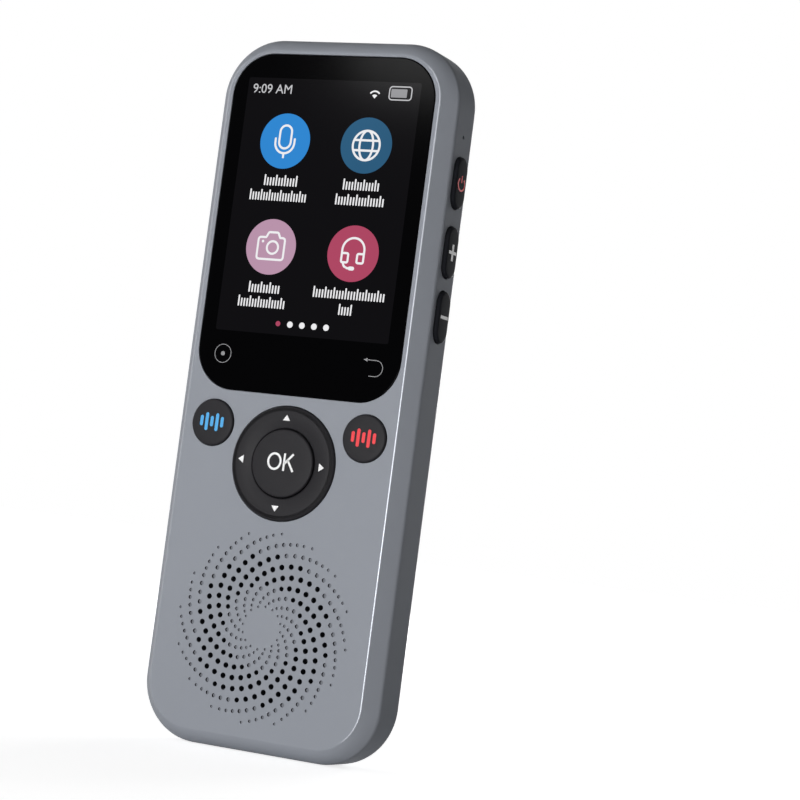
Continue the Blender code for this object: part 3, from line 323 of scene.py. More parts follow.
def build_grain_group():
    """Fine grain and soft handling patches.

    fine = noise of the position times Scale; broad = noise of the position times 38.
    Colour = Color times (1 + Mottle * (fine - 0.5) + Patch * (broad - 0.5)).
    Roughness = Rough + Spread * (broad - 0.5) + half of Spread * (fine - 0.5). Height = fine.
    """
    group, result = new_group(
        "fine_grain",
        (("Color", COLOUR, (0.5, 0.5, 0.5, 1.0)), ("Scale", NUMBER, 6000.0), ("Mottle", NUMBER, 0.1),
         ("Patch", NUMBER, 0.05), ("Rough", NUMBER, 0.5), ("Spread", NUMBER, 0.1)),
        (("Color", COLOUR), ("Roughness", NUMBER), ("Height", NUMBER)),
    )
    link = group.links.new
    given = group.nodes.new("NodeGroupInput").outputs
    position = group.nodes.new("ShaderNodeTexCoord").outputs["Object"]
    fine = group.nodes.new("ShaderNodeTexNoise")
    fine.inputs["Detail"].default_value = 2.0
    link(given["Scale"], fine.inputs["Scale"])
    broad = group.nodes.new("ShaderNodeTexNoise")
    broad.inputs["Detail"].default_value = 3.0
    broad.inputs["Scale"].default_value = BROAD_SCALE
    for noise in (fine, broad):
        link(position, noise.inputs["Vector"])

    def swing(noise, amount):
        """Amount * (noise - 0.5)."""
        centred = maths(group, "SUBTRACT", noise.outputs["Fac"], 0.5)
        return maths(group, "MULTIPLY", centred, given[amount])

    gain = maths(group, "ADD", maths(group, "ADD", swing(fine, "Mottle"), swing(broad, "Patch")), 1.0)
    colour = group.nodes.new("ShaderNodeVectorMath")
    colour.operation = "SCALE"
    link(given["Color"], colour.inputs[0])
    link(gain, colour.inputs["Scale"])
    link(colour.outputs[0], result.inputs["Color"])
    half = maths(group, "MULTIPLY", swing(fine, "Spread"), 0.5)
    rough = maths(group, "ADD", maths(group, "ADD", swing(broad, "Spread"), half), given["Rough"])
    rough.node.use_clamp = True
    link(rough, result.inputs["Roughness"])
    link(fine.outputs["Fac"], result.inputs["Height"])
    return group


GRAIN = build_grain_group()
print("grain group built with", len(GRAIN.nodes), "nodes")

# %% [markdown]
# ## One recipe, many finishes
# `finish` puts the grain group into a new material and gives it this finish's own values. Colours are given
# as they look on a screen, from 0 to 255, because that is how one reads them off a sample card; the helper
# turns them into the linear values that the shader works with.


# %% The finish recipe
PLASTIC_INDEX = 1.45
GRAIN_HEIGHT = 0.02 * MM


def linear(rgb):
    """Screen colour 0..255 to linear: up to 0.04045 divide by 12.92, above it ((v + 0.055) / 1.055) ^ 2.4."""
    v = np.asarray(rgb, float) / 255.0
    return (*np.where(v <= 0.04045, v / 12.92, ((v + 0.055) / 1.055) ** 2.4), 1.0)


def place_group(tree, group):
    """Put a node group into a material."""
    node = tree.nodes.new("ShaderNodeGroup")
    node.node_tree = group
    return node


def finish(name, rgb, rough, metallic=0.0, scale=6000.0, mottle=0.1, patch=0.04, spread=0.08, bump=0.1,
           glow=0.0, shine=0.5):
    """A material: grain group into a Principled shader, with a bump for the grain's height."""
    material = bpy.data.materials.new(name)
    material.use_nodes = True
    material.diffuse_color = linear(rgb)
    tree = material.node_tree
    shader = tree.nodes["Principled BSDF"]
    grain = place_group(tree, GRAIN)
    grain.name = "grain"
    for key, value in (("Color", linear(rgb)), ("Scale", scale), ("Mottle", mottle), ("Patch", patch),
                       ("Rough", rough), ("Spread", spread)):
        grain.inputs[key].default_value = value
    tree.links.new(grain.outputs["Roughness"], shader.inputs["Roughness"])
    shader.inputs["Metallic"].default_value = metallic
    shader.inputs["Specular IOR Level"].default_value = shine
    shader.inputs["IOR"].default_value = PLASTIC_INDEX
    if glow > 0.0:
        shader.inputs["Base Color"].default_value = (0.0, 0.0, 0.0, 1.0)
        shader.inputs["Emission Strength"].default_value = glow
    tree.links.new(grain.outputs["Color"], shader.inputs["Emission Color" if glow > 0.0 else "Base Color"])
    if bump > 0.0:
        relief = tree.nodes.new("ShaderNodeBump")
        relief.inputs["Strength"].default_value = bump
        relief.inputs["Distance"].default_value = GRAIN_HEIGHT
        tree.links.new(grain.outputs["Height"], relief.inputs["Height"])
        tree.links.new(relief.outputs["Normal"], shader.inputs["Normal"])
    return material


# %% Shell and keys
FINE = 9000.0
PAINT_GREY = (156, 160, 168)


def moulded(name, rgb, rough, shine):
    """Moulded rubber: a strong fine grain and soft glossy patches."""
    return finish(name, rgb, rough, scale=FINE, mottle=0.25, patch=0.1, spread=0.12, bump=0.2, shine=shine)


SHELL_PAINT = finish("satin_grey_paint", PAINT_GREY, 0.42, scale=FINE, mottle=0.06, spread=0.06, bump=0.12,
                     shine=0.01)
BACK_PAINT = finish("satin_grey_back", PAINT_GREY, 0.46, metallic=0.4, scale=FINE, mottle=0.06, spread=0.06,
                    shine=0.2)
BRIGHT_EDGE = finish("bright_cut_edge", (140, 143, 149), 0.38, metallic=1.0, scale=FINE, mottle=0.05,
                     bump=0.06)
KEY_RUBBER = moulded("key_black", (33, 32, 35), 0.5, 0.18)
SIDE_RUBBER = moulded("side_key_black", (30, 31, 35), 0.6, 0.02)
# The dimples' dark walls and darker floors are painted shade of the recesses.
DIMPLE_WALL_PAINTED_SHADE = finish("dimple_wall_painted_shade", (40, 42, 48), 0.6, scale=FINE, shine=0.05)
DIMPLE_FLOOR_PAINTED_SHADE = finish("dimple_floor_painted_shade", (134, 137, 144), 0.5, scale=FINE, shine=0.02)
# The drilled holes' near-black walls are painted shade of the deep holes.
HOLE_WALL_PAINTED_SHADE = finish("hole_wall_painted_shade", (34, 36, 42), 0.8, scale=FINE, mottle=0.3, shine=0.1)
BARREL_BLACK = finish("barrel_black", (12, 12, 14), 0.5, scale=FINE, mottle=0.2, shine=0.05)
COVER_GLASS = finish("cover_glass_black", (1, 1, 2), 0.1, scale=300, mottle=0.0, patch=0.1, spread=0.03,
                     bump=0.0, shine=0.02)
print("shell, key and glass finishes:", len(bpy.data.materials))

# %% [markdown]
# ## Lit colours and inks
# A lit colour glows by itself under smooth glass, so its shader has a black base and an emission. An ink is
# matt print on a key. Both differ only in colour and in how strong their soft patches are.


# %% Lit colours and inks
def lit_colour(name, rgb, patch):
    """A colour of the display."""
    return finish(name, rgb, 0.1, mottle=0.0, patch=patch, spread=0.03, bump=0.0, glow=1.0, shine=0.03)


def key_ink(name, rgb, patch):
    """Matt print on a key."""
    return finish(name, rgb, 0.5, scale=FINE, mottle=0.05, patch=patch)


LIT_AREA = lit_colour("display_off_black", (11, 10, 13), 0.1)
MIC_BLUE = lit_colour("screen_blue", (47, 134, 208), 0.12)
GLOBE_TEAL = lit_colour("screen_teal", (44, 92, 126), 0.5)
CAMERA_PINK = lit_colour("screen_pink", (184, 146, 170), 0.12)
HEADSET_RED = lit_colour("screen_crimson", (172, 70, 98), 0.12)
SCREEN_WHITE = lit_colour("screen_white", (238, 238, 240), 0.03)
SCREEN_GREY = lit_colour("screen_grey", (150, 150, 153), 0.06)
SCREEN_TEXT = lit_colour("screen_text_grey", (196, 196, 199), 0.06)
GLASS_PRINT = finish("glass_print_grey", (150, 150, 152), 0.2, mottle=0.05, patch=0.05, bump=0.0)
WHITE_PRINT = key_ink("white_key_print", (252, 252, 252), 0.03)
BLUE_PRINT = key_ink("blue_key_print", (82, 178, 240), 0.35)
RED_PRINT = key_ink("red_key_print", (245, 58, 66), 0.2)
GLOSSY_WHITE = finish("glossy_white_print", (252, 252, 252), 0.25, scale=FINE, mottle=0.03, patch=0.03,
                      bump=0.03)
print("finishes so far:", len(bpy.data.materials))

# %% [markdown]
# ## Finishes for the pieces inside
# The board, battery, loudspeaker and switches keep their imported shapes, because those are right already. They
# only swap their plain slot for a finish with grain.

# %% Dress the inner parts
STEEL = finish("stamped_steel", (190, 192, 194), 0.35, metallic=1.0, scale=4000, mottle=0.08)
BOARD = finish("solder_mask_green", (24, 92, 62), 0.42, scale=2500, mottle=0.2, patch=0.1, bump=0.15)
SILICONE = finish("key_mat_silicone", (96, 96, 98), 0.8, scale=5000, mottle=0.12, bump=0.2)
POUCH = finish("battery_pouch", (176, 178, 180), 0.45, metallic=0.4, scale=1400, bump=0.35)
NICKEL = finish("magnet_nickel", (188, 187, 182), 0.28, metallic=1.0, scale=3000, mottle=0.06, bump=0.08)
CLOTH = finish("speaker_cloth", (30, 30, 31), 0.92, scale=7000, mottle=0.5, bump=0.6)
FILM = finish("antenna_film", (170, 108, 44), 0.4, scale=2200, mottle=0.12, bump=0.12)
PANEL = finish("display_panel", (30, 31, 34), 0.3, scale=2600, bump=0.08)
DARK_METAL = finish("black_anodised", (34, 34, 36), 0.32, metallic=0.9)
INNER = {
    "lcd_panel": PANEL, "display_frame": STEEL, "dpad_rocker": KEY_RUBBER, "key_mat": SILICONE,
    "main_board": BOARD, "usb_board": BOARD, "side_key_board": BOARD, "shield_can": STEEL,
    "microphone": STEEL, "card_socket": STEEL, "card_tray": SHELL_PAINT, "battery": POUCH,
    "wifi_antenna": FILM, "speaker_mesh": CLOTH, "speaker_gasket": SILICONE, "speaker_basket": DARK_METAL,
    "speaker_cone": CLOTH, "speaker_magnet": NICKEL, "camera_module": DARK_METAL, "usb_c_port": STEEL,
}
for node, thing in NODES.items():
    chosen = INNER.get(node)
    if node.startswith(("dome_", "board_screw_")) or node.endswith("_switch"):
        chosen = STEEL
    if chosen:
        thing.data.materials.clear()
        thing.data.materials.append(chosen)
print("inner parts dressed, finishes in all:", len(bpy.data.materials))

# %% [markdown]
# ## The front housing
# The housing is one moulded tub. Its section starts on the flat face, turns over a small bright edge into a
# slanted band, runs down the side wall, slants in again at the back and ends in a thin rim. The same section
# goes all round the bar, so it is a profile carried along a rounded rectangle. Each point of the profile is
# an inset from the outline and a depth. A hollow shell could also come from Solidify, but the profile already
# knows the inside of the wall, so it simply runs on round the rim and back. At the top and bottom ends the
# band is steeper and rolls over softly from the face, so each row has an inset of its own there.

# %% Front housing surface
BAR_MIDDLE = (0.0, LENGTH / 2)
FACE_INSET = 2.5 * MM
HOUSING_PROFILE = softened(
    np.array([(3.05, 0.0), (2.5, 0.0), (0.0, 3.1), (0.0, 10.6), (0.8, 11.8), (1.15, 11.8), (1.15, 11.1),
              (1.6, 11.1), (1.6, 3.7), (3.1, 1.8)]) * MM,
    np.array([0.15, 0.55, 0.3, 0.06, 0.06, 0.0, 0.0, 0.4]) * MM,
)
ROW_STEP = 0.2 * MM
END_BAND_DEPTH = 4.4 * MM
END_FACE_INSET = FACE_INSET + 0.4 * MM
END_ROLL = 1.3
PLAIN_END = 5 * MM


def with_more_rows(profile, last, step):
    """The profile with its first lines, up to point number last, cut into rows no longer than a step."""
    counts = np.ceil(np.linalg.norm(np.diff(profile[: last + 1], axis=0), axis=1) / step).astype(int)
    lines = [np.linspace(a, b, max(n, 1), endpoint=False) for a, b, n in zip(profile, profile[1:], counts)]
    return np.concatenate(lines + [profile[last:]])


def end_insets(profile, outer_rows):
    """Insets at the ends: rise = 1 - depth / 4.4 mm, and inset = 2.9 mm * (1 - (1 - rise^2)^(1 / 1.3))."""
    depth = profile[:, 1]
    rise = 1 - np.clip(depth / END_BAND_DEPTH, 0, 1)
    rolled = END_FACE_INSET * (1 - (1 - rise**2) ** (1 / END_ROLL))
    row = np.arange(len(profile))
    outer = (row > 0) & (row < outer_rows) & (depth < END_BAND_DEPTH)
    return np.where(outer, rolled, profile[:, 0])


def mark_bright_edges(piece, profile):
    """Give the face's edge and the rear rim the bright finish, but no front edge near the bar's ends.

    Every line of the profile sweeps the same number of faces, so its mark is repeated that often.
    """
    before, after = profile[:-1], profile[1:]
    front = (before[:, 0] > FACE_INSET - 0.2 * MM) & (after[:, 0] < FACE_INSET + 0.18 * MM)
    front &= after[:, 1] < 0.13 * MM
    rear = np.minimum(before[:, 1], after[:, 1]) > RIM_DEPTH - 0.01 * MM
    faces = piece.data.polygons
    marks = np.zeros(len(faces), np.int32)
    per_line = len(faces) // len(before)
    marks[: len(before) * per_line] = np.repeat(front | rear, per_line)
    centres = np.empty(3 * len(faces))
    faces.foreach_get("center", centres)
    from_middle = np.abs(centres[2::3] - LENGTH / 2)
    marks[(centres[1::3] < 0) & (from_middle > LENGTH / 2 - PLAIN_END)] = 0
    piece.data.materials.append(BRIGHT_EDGE)
    faces.foreach_set("material_index", marks)


wall_start = int(np.argmax(HOUSING_PROFILE[:, 1] > END_BAND_DEPTH))
HOUSING_PROFILE = with_more_rows(HOUSING_PROFILE, wall_start, ROW_STEP)
inset, depth = HOUSING_PROFILE.T
end_inset = end_insets(HOUSING_PROFILE, int(np.argmax(depth)))
housing = lofted_piece(
    "shell_front", HALF_WIDTH - inset, LENGTH / 2 - end_inset, CORNER - np.maximum(inset, end_inset), depth,
    BAR_MIDDLE, SHELL_PAINT, None, steps=24,
)
mark_bright_edges(housing, HOUSING_PROFILE)
print("housing grid:", len(HOUSING_PROFILE), "rows,", len(housing.data.polygons), "faces")

# %% [markdown]
# ## Openings in the housing
# The glass lies in a shallow pocket, the keys stand in round and long holes, and a card tray and a charging
# inlet need slots. Each opening is cut with a plain closed shape. Cutting is the right tool here, because
# the openings go through a surface that is already finished.

# %% Cut the pockets and holes
SLOT_GAP = 0.2 * MM
KEY_GAP = 0.03 * MM
KEY_TRIM = 0.1 * MM
GLASS_GAP = 0.1 * MM
GLASS_CORNER = 8.2 * MM
GLASS_POCKET = 1.1 * MM
WINDOW_SIDE_EDGE = 3 * MM
WINDOW_END_EDGE = 1.6 * MM
WINDOW_CORNER = 3 * MM
BEFORE_FACE = -2 * MM
BEHIND_GLASS = 3 * MM
BEHIND_KEYS = 4 * MM
THROUGH_WALL = (21.4 * MM, 27 * MM)
RING_RADIUS = 10.906 * MM
VOICE_RADIUS = 4.53 * MM
SIDE_HALF_LENGTH = 4.85 * MM
SIDE_HALF_WIDTH = 2.4 * MM
SIDE_MIDDLE_Y = (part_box("power_button")[0].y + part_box("power_button")[1].y) / 2
TRAY_HALF_LENGTH = 7.1 * MM
TRAY_HALF_WIDTH = 1.45 * MM
TRAY_CORNER = 1.449 * MM
MIC_RADIUS = 0.4 * MM
MIC_CORNER = 0.3999 * MM


def drill(radius, front, rear, place, sides=96):
    """A round cutter along Y, from one depth to another."""
    profile = np.array([(0.0, front), (radius, front), (radius, rear), (0.0, rear)])
    return turned_piece("cutter", profile, place, None, None, steps=sides)


def cut_opening(half_a, half_b, corner, levels, middle, **more):
    """Cut an opening with a rounded outline out of the housing, between two levels."""
    carve(housing, lofted_piece("cutter", half_a, half_b, corner, levels, middle, None, None, **more))


def side_place(node):
    """Middle (y, z) of a key or a hole in the right-hand wall."""
    return SIDE_MIDDLE_Y, centre_of(node)[1]


glass_half = (glass_high.x - glass_low.x) / 2
glass_half_length = (glass_high.z - glass_low.z) / 2
glass_middle = (0.0, (glass_high.z + glass_low.z) / 2)
cut_opening(glass_half + GLASS_GAP, glass_half_length + GLASS_GAP, GLASS_CORNER + GLASS_GAP / 2,
            (BEFORE_FACE, GLASS_POCKET), glass_middle, steps=24)
lcd_low, lcd_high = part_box("lcd_panel")
cut_opening(glass_half - WINDOW_SIDE_EDGE, (lcd_high.z - lcd_low.z) / 2 - WINDOW_END_EDGE, WINDOW_CORNER,
            (BEFORE_FACE, BEHIND_GLASS), centre_of("lcd_panel"), steps=8)
carve(housing, drill(RING_RADIUS + KEY_GAP, BEFORE_FACE, BEHIND_KEYS, KEYS))
for node in ("voice_key_left", "voice_key_right"):
    carve(housing, drill(VOICE_RADIUS + KEY_GAP, BEFORE_FACE, BEHIND_KEYS, centre_of(node), sides=72))
for node in ("power_button", "volume_up_button", "volume_down_button"):
    cut_opening(SIDE_HALF_LENGTH + SLOT_GAP, SIDE_HALF_WIDTH + SLOT_GAP, SIDE_HALF_WIDTH + SLOT_GAP,
                THROUGH_WALL, side_place(node), side=1)
tray_low, tray_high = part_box("card_tray")
tray_middle = ((tray_low.y + tray_high.y) / 2, (tray_low.z + tray_high.z) / 2)
cut_opening(TRAY_HALF_LENGTH, TRAY_HALF_WIDTH, TRAY_CORNER, THROUGH_WALL, tray_middle, side=-1)
cut_opening(MIC_RADIUS, MIC_RADIUS, MIC_CORNER, THROUGH_WALL, side_place("microphone"), side=1, steps=6)
print("housing after the openings:", len(housing.data.polygons), "faces")

# %% [markdown]
# ## The charging inlet's mouth
# The inlet opens in the bottom end. Its cutter is the same rounded loop, laid flat.

# %% Cut the inlet's mouth
INLET_GAP = 0.15 * MM
INLET_LEVELS = (-2 * MM, 3.4 * MM)
usb_low, usb_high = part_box("usb_c_port")
usb_half_y = (usb_high.y - usb_low.y) / 2 + INLET_GAP
a, b = rounded_loop([usb_high.x + INLET_GAP] * 2, [usb_half_y] * 2, [usb_half_y * FULLY_ROUND] * 2, 12)
levels = np.broadcast_to(np.array(INLET_LEVELS)[:, None], a.shape)
mouth_points = np.stack([a, b + SIDE_MIDDLE_Y, levels], axis=-1).reshape(-1, 3)
carve(housing, make_piece("cutter", mouth_points, grid_faces(*a.shape), end_caps(*a.shape), None, None))
print("mouth cut")

# %% [markdown]
# ## The spiral grille
# Sixteen arms wind out from the middle. Both the radius and the turn of an arm grow with the same share of
# the way out, so each arm is part of a simple spiral. The dots start as small dimples, become drilled holes
# in the middle of the arm, and shrink to dimples again at its end, which makes the pattern fade out.

# %% Drill the grille
ARMS = 16
DOTS = 20
FIRST_HOLE = 5
LAST_HOLE = 11
INNER_REACH = 4.02 * MM
OUTER_REACH = 17.89 * MM
EXTRA_DIMPLE = 0.43 * MM
DRILL_START = -0.6 * MM
HOLE_DEPTH = 3.0 * MM
DIMPLE_SHARE = 1.15
DOT_RADII = np.array([0.24, 0.28, 0.32, 0.36, 0.4, 0.46, 0.51, 0.53, 0.54, 0.54,
                      0.53, 0.51, 0.48, 0.42, 0.41, 0.39, 0.36, 0.33, 0.3, 0.27]) * MM


def grille_dots():
    """Middle, radius and kind of every dot.

    For dot k of 20, even = k / 19 and share = even + 1.3 even^2.2 (1 - even)^1.5. The dot's distance from the
    grille's middle is inner + (outer - inner) * share, and its angle is 41 - 128.6 share - 7.8 share^2
    degrees plus 22.5 degrees for each arm. Arms that end in the lower part have one drilled hole more.
    """
    k = np.arange(DOTS)[None, :]
    arm = np.arange(ARMS)[:, None]
    even = k / (DOTS - 1)
    share = even + 1.3 * even**2.2 * (1 - even) ** 1.5
    reach = INNER_REACH + (OUTER_REACH - INNER_REACH) * share
    angle = np.radians(41.0 - 128.6 * share - 7.8 * share**2 + 360.0 / ARMS * arm)
    low = (k == LAST_HOLE + 1) & (np.sin(angle) <= -0.2)
    through = ((k >= FIRST_HOLE) & (k <= LAST_HOLE)) | low
    size = np.where((k == LAST_HOLE + 1) & ~low, EXTRA_DIMPLE, DOT_RADII)
    return GRILLE[0] + reach * np.cos(angle), GRILLE[1] + reach * np.sin(angle), size, through


def cut_dots(x, z, size, rear, wall, floor, sides=14):
    """Cut round dots, each with a front rim, a rear rim and a face on both, with one mesh of closed rods.

    Rim point s of a rod is at x + size * cos(turn), z + size * sin(turn). The rods' sides carry the wall
    finish and their ends the floor finish, and the cut hands both on to the housing. In this script both
    finishes are painted shade of the recesses.
    """
    turn = np.linspace(0.0, 2 * np.pi, sides, endpoint=False)[None, None, :]
    rim = np.repeat(size, 2).reshape(-1, 2, 1)
    depth = np.stack([np.full_like(size, DRILL_START), rear], axis=1)[:, :, None]
    middles = (x[:, None, None], z[:, None, None])
    points = laid(rim * np.cos(turn), rim * np.sin(turn), depth, middles)
    start = (np.arange(len(x)) * 2 * sides)[:, None, None]
    quads = (grid_faces(2, sides)[None] + start).reshape(-1, 4)
    ends = start[:, :, 0] + np.arange(sides)[None]
    caps = list(ends[:, ::-1]) + list(ends + sides)
    rods = make_piece("cutter", points, quads, caps, wall, None)
    rods.data.materials.append(floor)
    rods.data.polygons.foreach_set("material_index", np.repeat([0, 1], [len(quads), len(caps)]))
    carve(housing, rods)


dot_x, dot_z, dot_size, is_hole = grille_dots()
holes, dimples = dot_size[is_hole], dot_size[~is_hole]
# Hole walls painted near black as painted shade.
cut_dots(dot_x[is_hole], dot_z[is_hole], holes, np.full_like(holes, HOLE_DEPTH), HOLE_WALL_PAINTED_SHADE, HOLE_WALL_PAINTED_SHADE)
# Dimples: dark walls and slightly darker floors as painted shade.
cut_dots(dot_x[~is_hole], dot_z[~is_hole], dimples, DIMPLE_SHARE * dimples, DIMPLE_WALL_PAINTED_SHADE, DIMPLE_FLOOR_PAINTED_SHADE)
dress(housing, None, "bar", 28.0, ("front_housing",))
print("grille:", len(holes), "holes and", len(dimples), "dimples,", len(housing.data.polygons), "faces")

# %% [markdown]
# ## The rear cover
# The back is a soft pillow. Near the seam it rises steeply, then it bends over into a flat plateau. The bend
# is short at the long sides and long at the ends. A quarter of a rounded curve gives both: going round it,
# the inset follows one minus the cosine and the height follows the sine, each raised to a power.

# %% Rear cover surface
COVER_INSET = 1.45 * MM
SIDE_SLOPE = 3.2 * MM
END_SLOPE = 8.5 * MM
PLATEAU_CORNER = 9.8 * MM
PLATEAU_STEP = 0.6 * MM
COVER_WALL = 1.3 * MM
CAMERA_HOLE = 6.35 * MM
THROUGH_COVER = (12 * MM, 17 * MM)
RISE = THICKNESS - RIM_DEPTH


def pillow(share, wall=0.0):
    """Half width, half length, corner and depth of the cover's sections.

    angle = share * 90 degrees, run = 1 - cos(angle)^1.15, height = sin(angle)^0.9. The insets grow by the
    slope times the run, and the depth by the rise times the height. A wall thickness moves all inwards.
    """
    angle = np.asarray(share, float) * np.pi / 2
    run = 1 - np.clip(np.cos(angle), 0, 1) ** 1.15
    height = np.clip(np.sin(angle), 0, 1) ** 0.9
    half_a = HALF_WIDTH - COVER_INSET - SIDE_SLOPE * run - wall
    half_b = LENGTH / 2 - COVER_INSET - END_SLOPE * run - wall
    corner = (CORNER - COVER_INSET) * (1 - run) + PLATEAU_CORNER * run - wall
    return half_a, half_b, corner, RIM_DEPTH + RISE * height - wall


plateau = [size - PLATEAU_STEP for size in pillow([1.0])[:3]] + [[THICKNESS]]
outside = pillow(np.concatenate([[1.0], np.linspace(0.985, 0.02, 40), [0.0]]))
ledge = np.array([1.45, 1.9, 1.9, 2.9, 2.9]) * MM
ledge_depth = np.array([11.4, 11.4, 9.8, 9.8, 11.4]) * MM
skirt = (HALF_WIDTH - ledge, LENGTH / 2 - ledge, CORNER - ledge, ledge_depth)
inside = pillow([0.45, 0.6, 0.75, 0.9, 1.0], COVER_WALL)
sections = [np.concatenate(column) for column in zip(plateau, outside, skirt, inside)]
cover = lofted_piece("shell_back", *sections, BAR_MIDDLE, BACK_PAINT, None, steps=24)
carve(cover, drill(CAMERA_HOLE, *THROUGH_COVER, CAMERA_PLACE, sides=128))
dress(cover, None, "bar", 30.0, ("rear_cover",))
print("rear cover:", len(cover.data.polygons), "faces")

# %% [markdown]
# ## The cover glass
# The glass is a flat plate with a very small polished edge. It is printed black from behind, so the shader
# needs no see-through part: a black base under a smooth surface looks the same and stays simple.

# %% Cover glass
glass_profile = softened(
    np.array([(0.5, 0.0), (0.0, 0.0), (0.0, 0.8), (0.5, 0.8)]) * MM, np.array([0.18, 0.1]) * MM,
)
edge, depth = glass_profile.T
glass = lofted_piece(
    "glass_front", glass_half - edge, glass_half_length - edge, GLASS_CORNER - edge, depth, glass_middle,
    COVER_GLASS, "bar", steps=24, replaced=("cover_glass",), slot="glass_black",
)
print("glass:", len(glass.data.polygons), "faces")

# %% [markdown]
# ## The keys on the face
# All four are turned pieces. The ring key is a little dished towards its middle, so that a thumb finds it.
# The middle key and the round keys are flat with a soft edge.

# %% Ring key, middle key and round keys
OK_RADIUS = RING_RADIUS - 4.4 * MM
OK_EDGE = OK_RADIUS - KEY_TRIM
RING_EDGE = RING_RADIUS - KEY_TRIM
RING_CREST = 8.7 * MM
FLANGE = RING_RADIUS + 0.7 * MM
FLANGE_FRONT = 2.25 * MM
FLANGE_REAR = 3.5 * MM


def round_key(name, node, radius, proud, body, flange, flange_front, flange_rear):
    """A flat round key. Its profile runs out along the top, over a soft edge and down to a hidden flange."""
    radius = radius - KEY_TRIM
    profile = softened(
        np.array([(0.0, -proud), (radius * 0.72, -proud), (radius, -proud + 0.12 * MM),
                  (radius, flange_front), (flange, flange_front), (flange, flange_rear), (0.0, flange_rear)]),
        (radius * 0.1, 0.4 * MM, 0.0, 0.0, 0.0),
    )
    turned_piece(name, profile, centre_of(node), KEY_RUBBER, body, replaced=(node,), slot="key_black")


ring_profile = softened(
    np.array([(OK_EDGE + 0.14 * MM, FLANGE_REAR), (OK_EDGE + 0.14 * MM, -0.2 * MM), (RING_CREST, -0.74 * MM),
              (RING_EDGE, -0.5 * MM), (RING_EDGE, FLANGE_FRONT), (FLANGE, FLANGE_FRONT),
              (FLANGE, FLANGE_REAR), (OK_RADIUS + 0.4 * MM, FLANGE_REAR)]),
    np.array([0.3, 1.3, 0.7, 0.0, 0.0, 0.0]) * MM, steps=8,
)
turned_piece("ring_key", ring_profile, KEYS, KEY_RUBBER, "ring", steps=160, replaced=("dpad_ring",),
             slot="key_black")
round_key("middle_key_cap", "ok_button", OK_RADIUS, 0.76 * MM, "middle_key", OK_RADIUS + 0.8 * MM, 3.8 * MM,
          4.4 * MM)
for node, body in (("voice_key_left", "left_voice_key"), ("voice_key_right", "right_voice_key")):
    round_key(node + "_cap", node, VOICE_RADIUS, 0.6 * MM, body, VOICE_RADIUS + 0.7 * MM, 2.1 * MM, 2.8 * MM)
print("face keys made")

# %% [markdown]
# ## The side keys
# Each is a long pill. Its sections are rounded loops whose corner is half the width, stacked along X.

# %% Side keys
SIDE_BODIES = {"power_button": "power_key", "volume_up_button": "volume_up_key",
               "volume_down_button": "volume_down_key"}
key_profile = softened(
    np.array([(1.2, 25.8), (0.0, 25.76), (0.0, 23.1), (-0.5, 23.1), (-0.5, 22.5), (1.2, 22.5)]) * MM,
    (0.5 * MM, 0.0, 0.0, 0.0), steps=8,
)
trim, reach = key_profile.T
for node, body in SIDE_BODIES.items():
    lofted_piece(node + "_cap", SIDE_HALF_LENGTH - trim, SIDE_HALF_WIDTH - trim,
                 (SIDE_HALF_WIDTH - trim) * FULLY_ROUND, reach, side_place(node), SIDE_RUBBER, body, side=1,
                 replaced=(node,), slot="key_black")
print("side keys made")

# %% [markdown]
# ## The rear camera
# A spun black ring dips towards a small barrel with a coated lens. Spun grooves gather the light in two
# bright wedges and two faint ones. A brushed shader could find them from the lamps, but it asks for a dark
# room. Here a small group paints them into the ring's colour as painted highlights: it takes the direction
# from the camera's axis, and how well that direction lines up with the wedge's own gives the mask. The
# lens's pale middle and violet ring are painted reflections, laid into its colour by distance from the axis.


# %% Spun metal with painted highlights and a coated lens with painted reflections
LENS_RADIUS = 1.7 * MM
# Painted highlights on the spun ring: the axis, power and strength of each wedge, and the grey they paint in.
BRIGHT_PAINTED_HIGHLIGHT = ((-0.82, 0.0, 0.57), 12.0, 1.0)
FAINT_PAINTED_HIGHLIGHT = ((0.64, 0.0, 0.77), 20.0, 0.12)
PAINTED_HIGHLIGHT_GREY = (214, 214, 218)
# Painted reflections on the lens: colours by share of the lens radius, with a pale painted glint in the middle
# and a violet ring.
LENS_PAINTED_REFLECTIONS = ((0.0, (96, 92, 190)), (0.07, (40, 34, 108)), (0.2, (9, 7, 32)), (0.5, (6, 5, 22)),
              (0.68, (34, 28, 98)), (0.82, (12, 9, 42)), (1.0, (3, 3, 6)))


def from_axis(group):
    """Inside a group: the vector from the rear camera's axis, with its depth left out."""
    place = group.nodes.new("ShaderNodeTexCoord")
    centred = group.nodes.new("ShaderNodeMapping")
    centred.inputs["Location"].default_value = (-CAMERA_PLACE[0], 0.0, -CAMERA_PLACE[1])
    centred.inputs["Scale"].default_value = (1.0, 0.0, 1.0)
    group.links.new(place.outputs["Object"], centred.inputs["Vector"])
    return centred.outputs["Vector"]


def vector_maths(tree, kind, first, second=(0.0, 0.0, 0.0)):
    """One vector step on a socket; a dot product also takes three numbers."""
    node = tree.nodes.new("ShaderNodeVectorMath")
    node.operation = kind
    tree.links.new(first, node.inputs[0])
    node.inputs[1].default_value = second
    return node.outputs["Vector" if kind == "NORMALIZE" else "Value"]


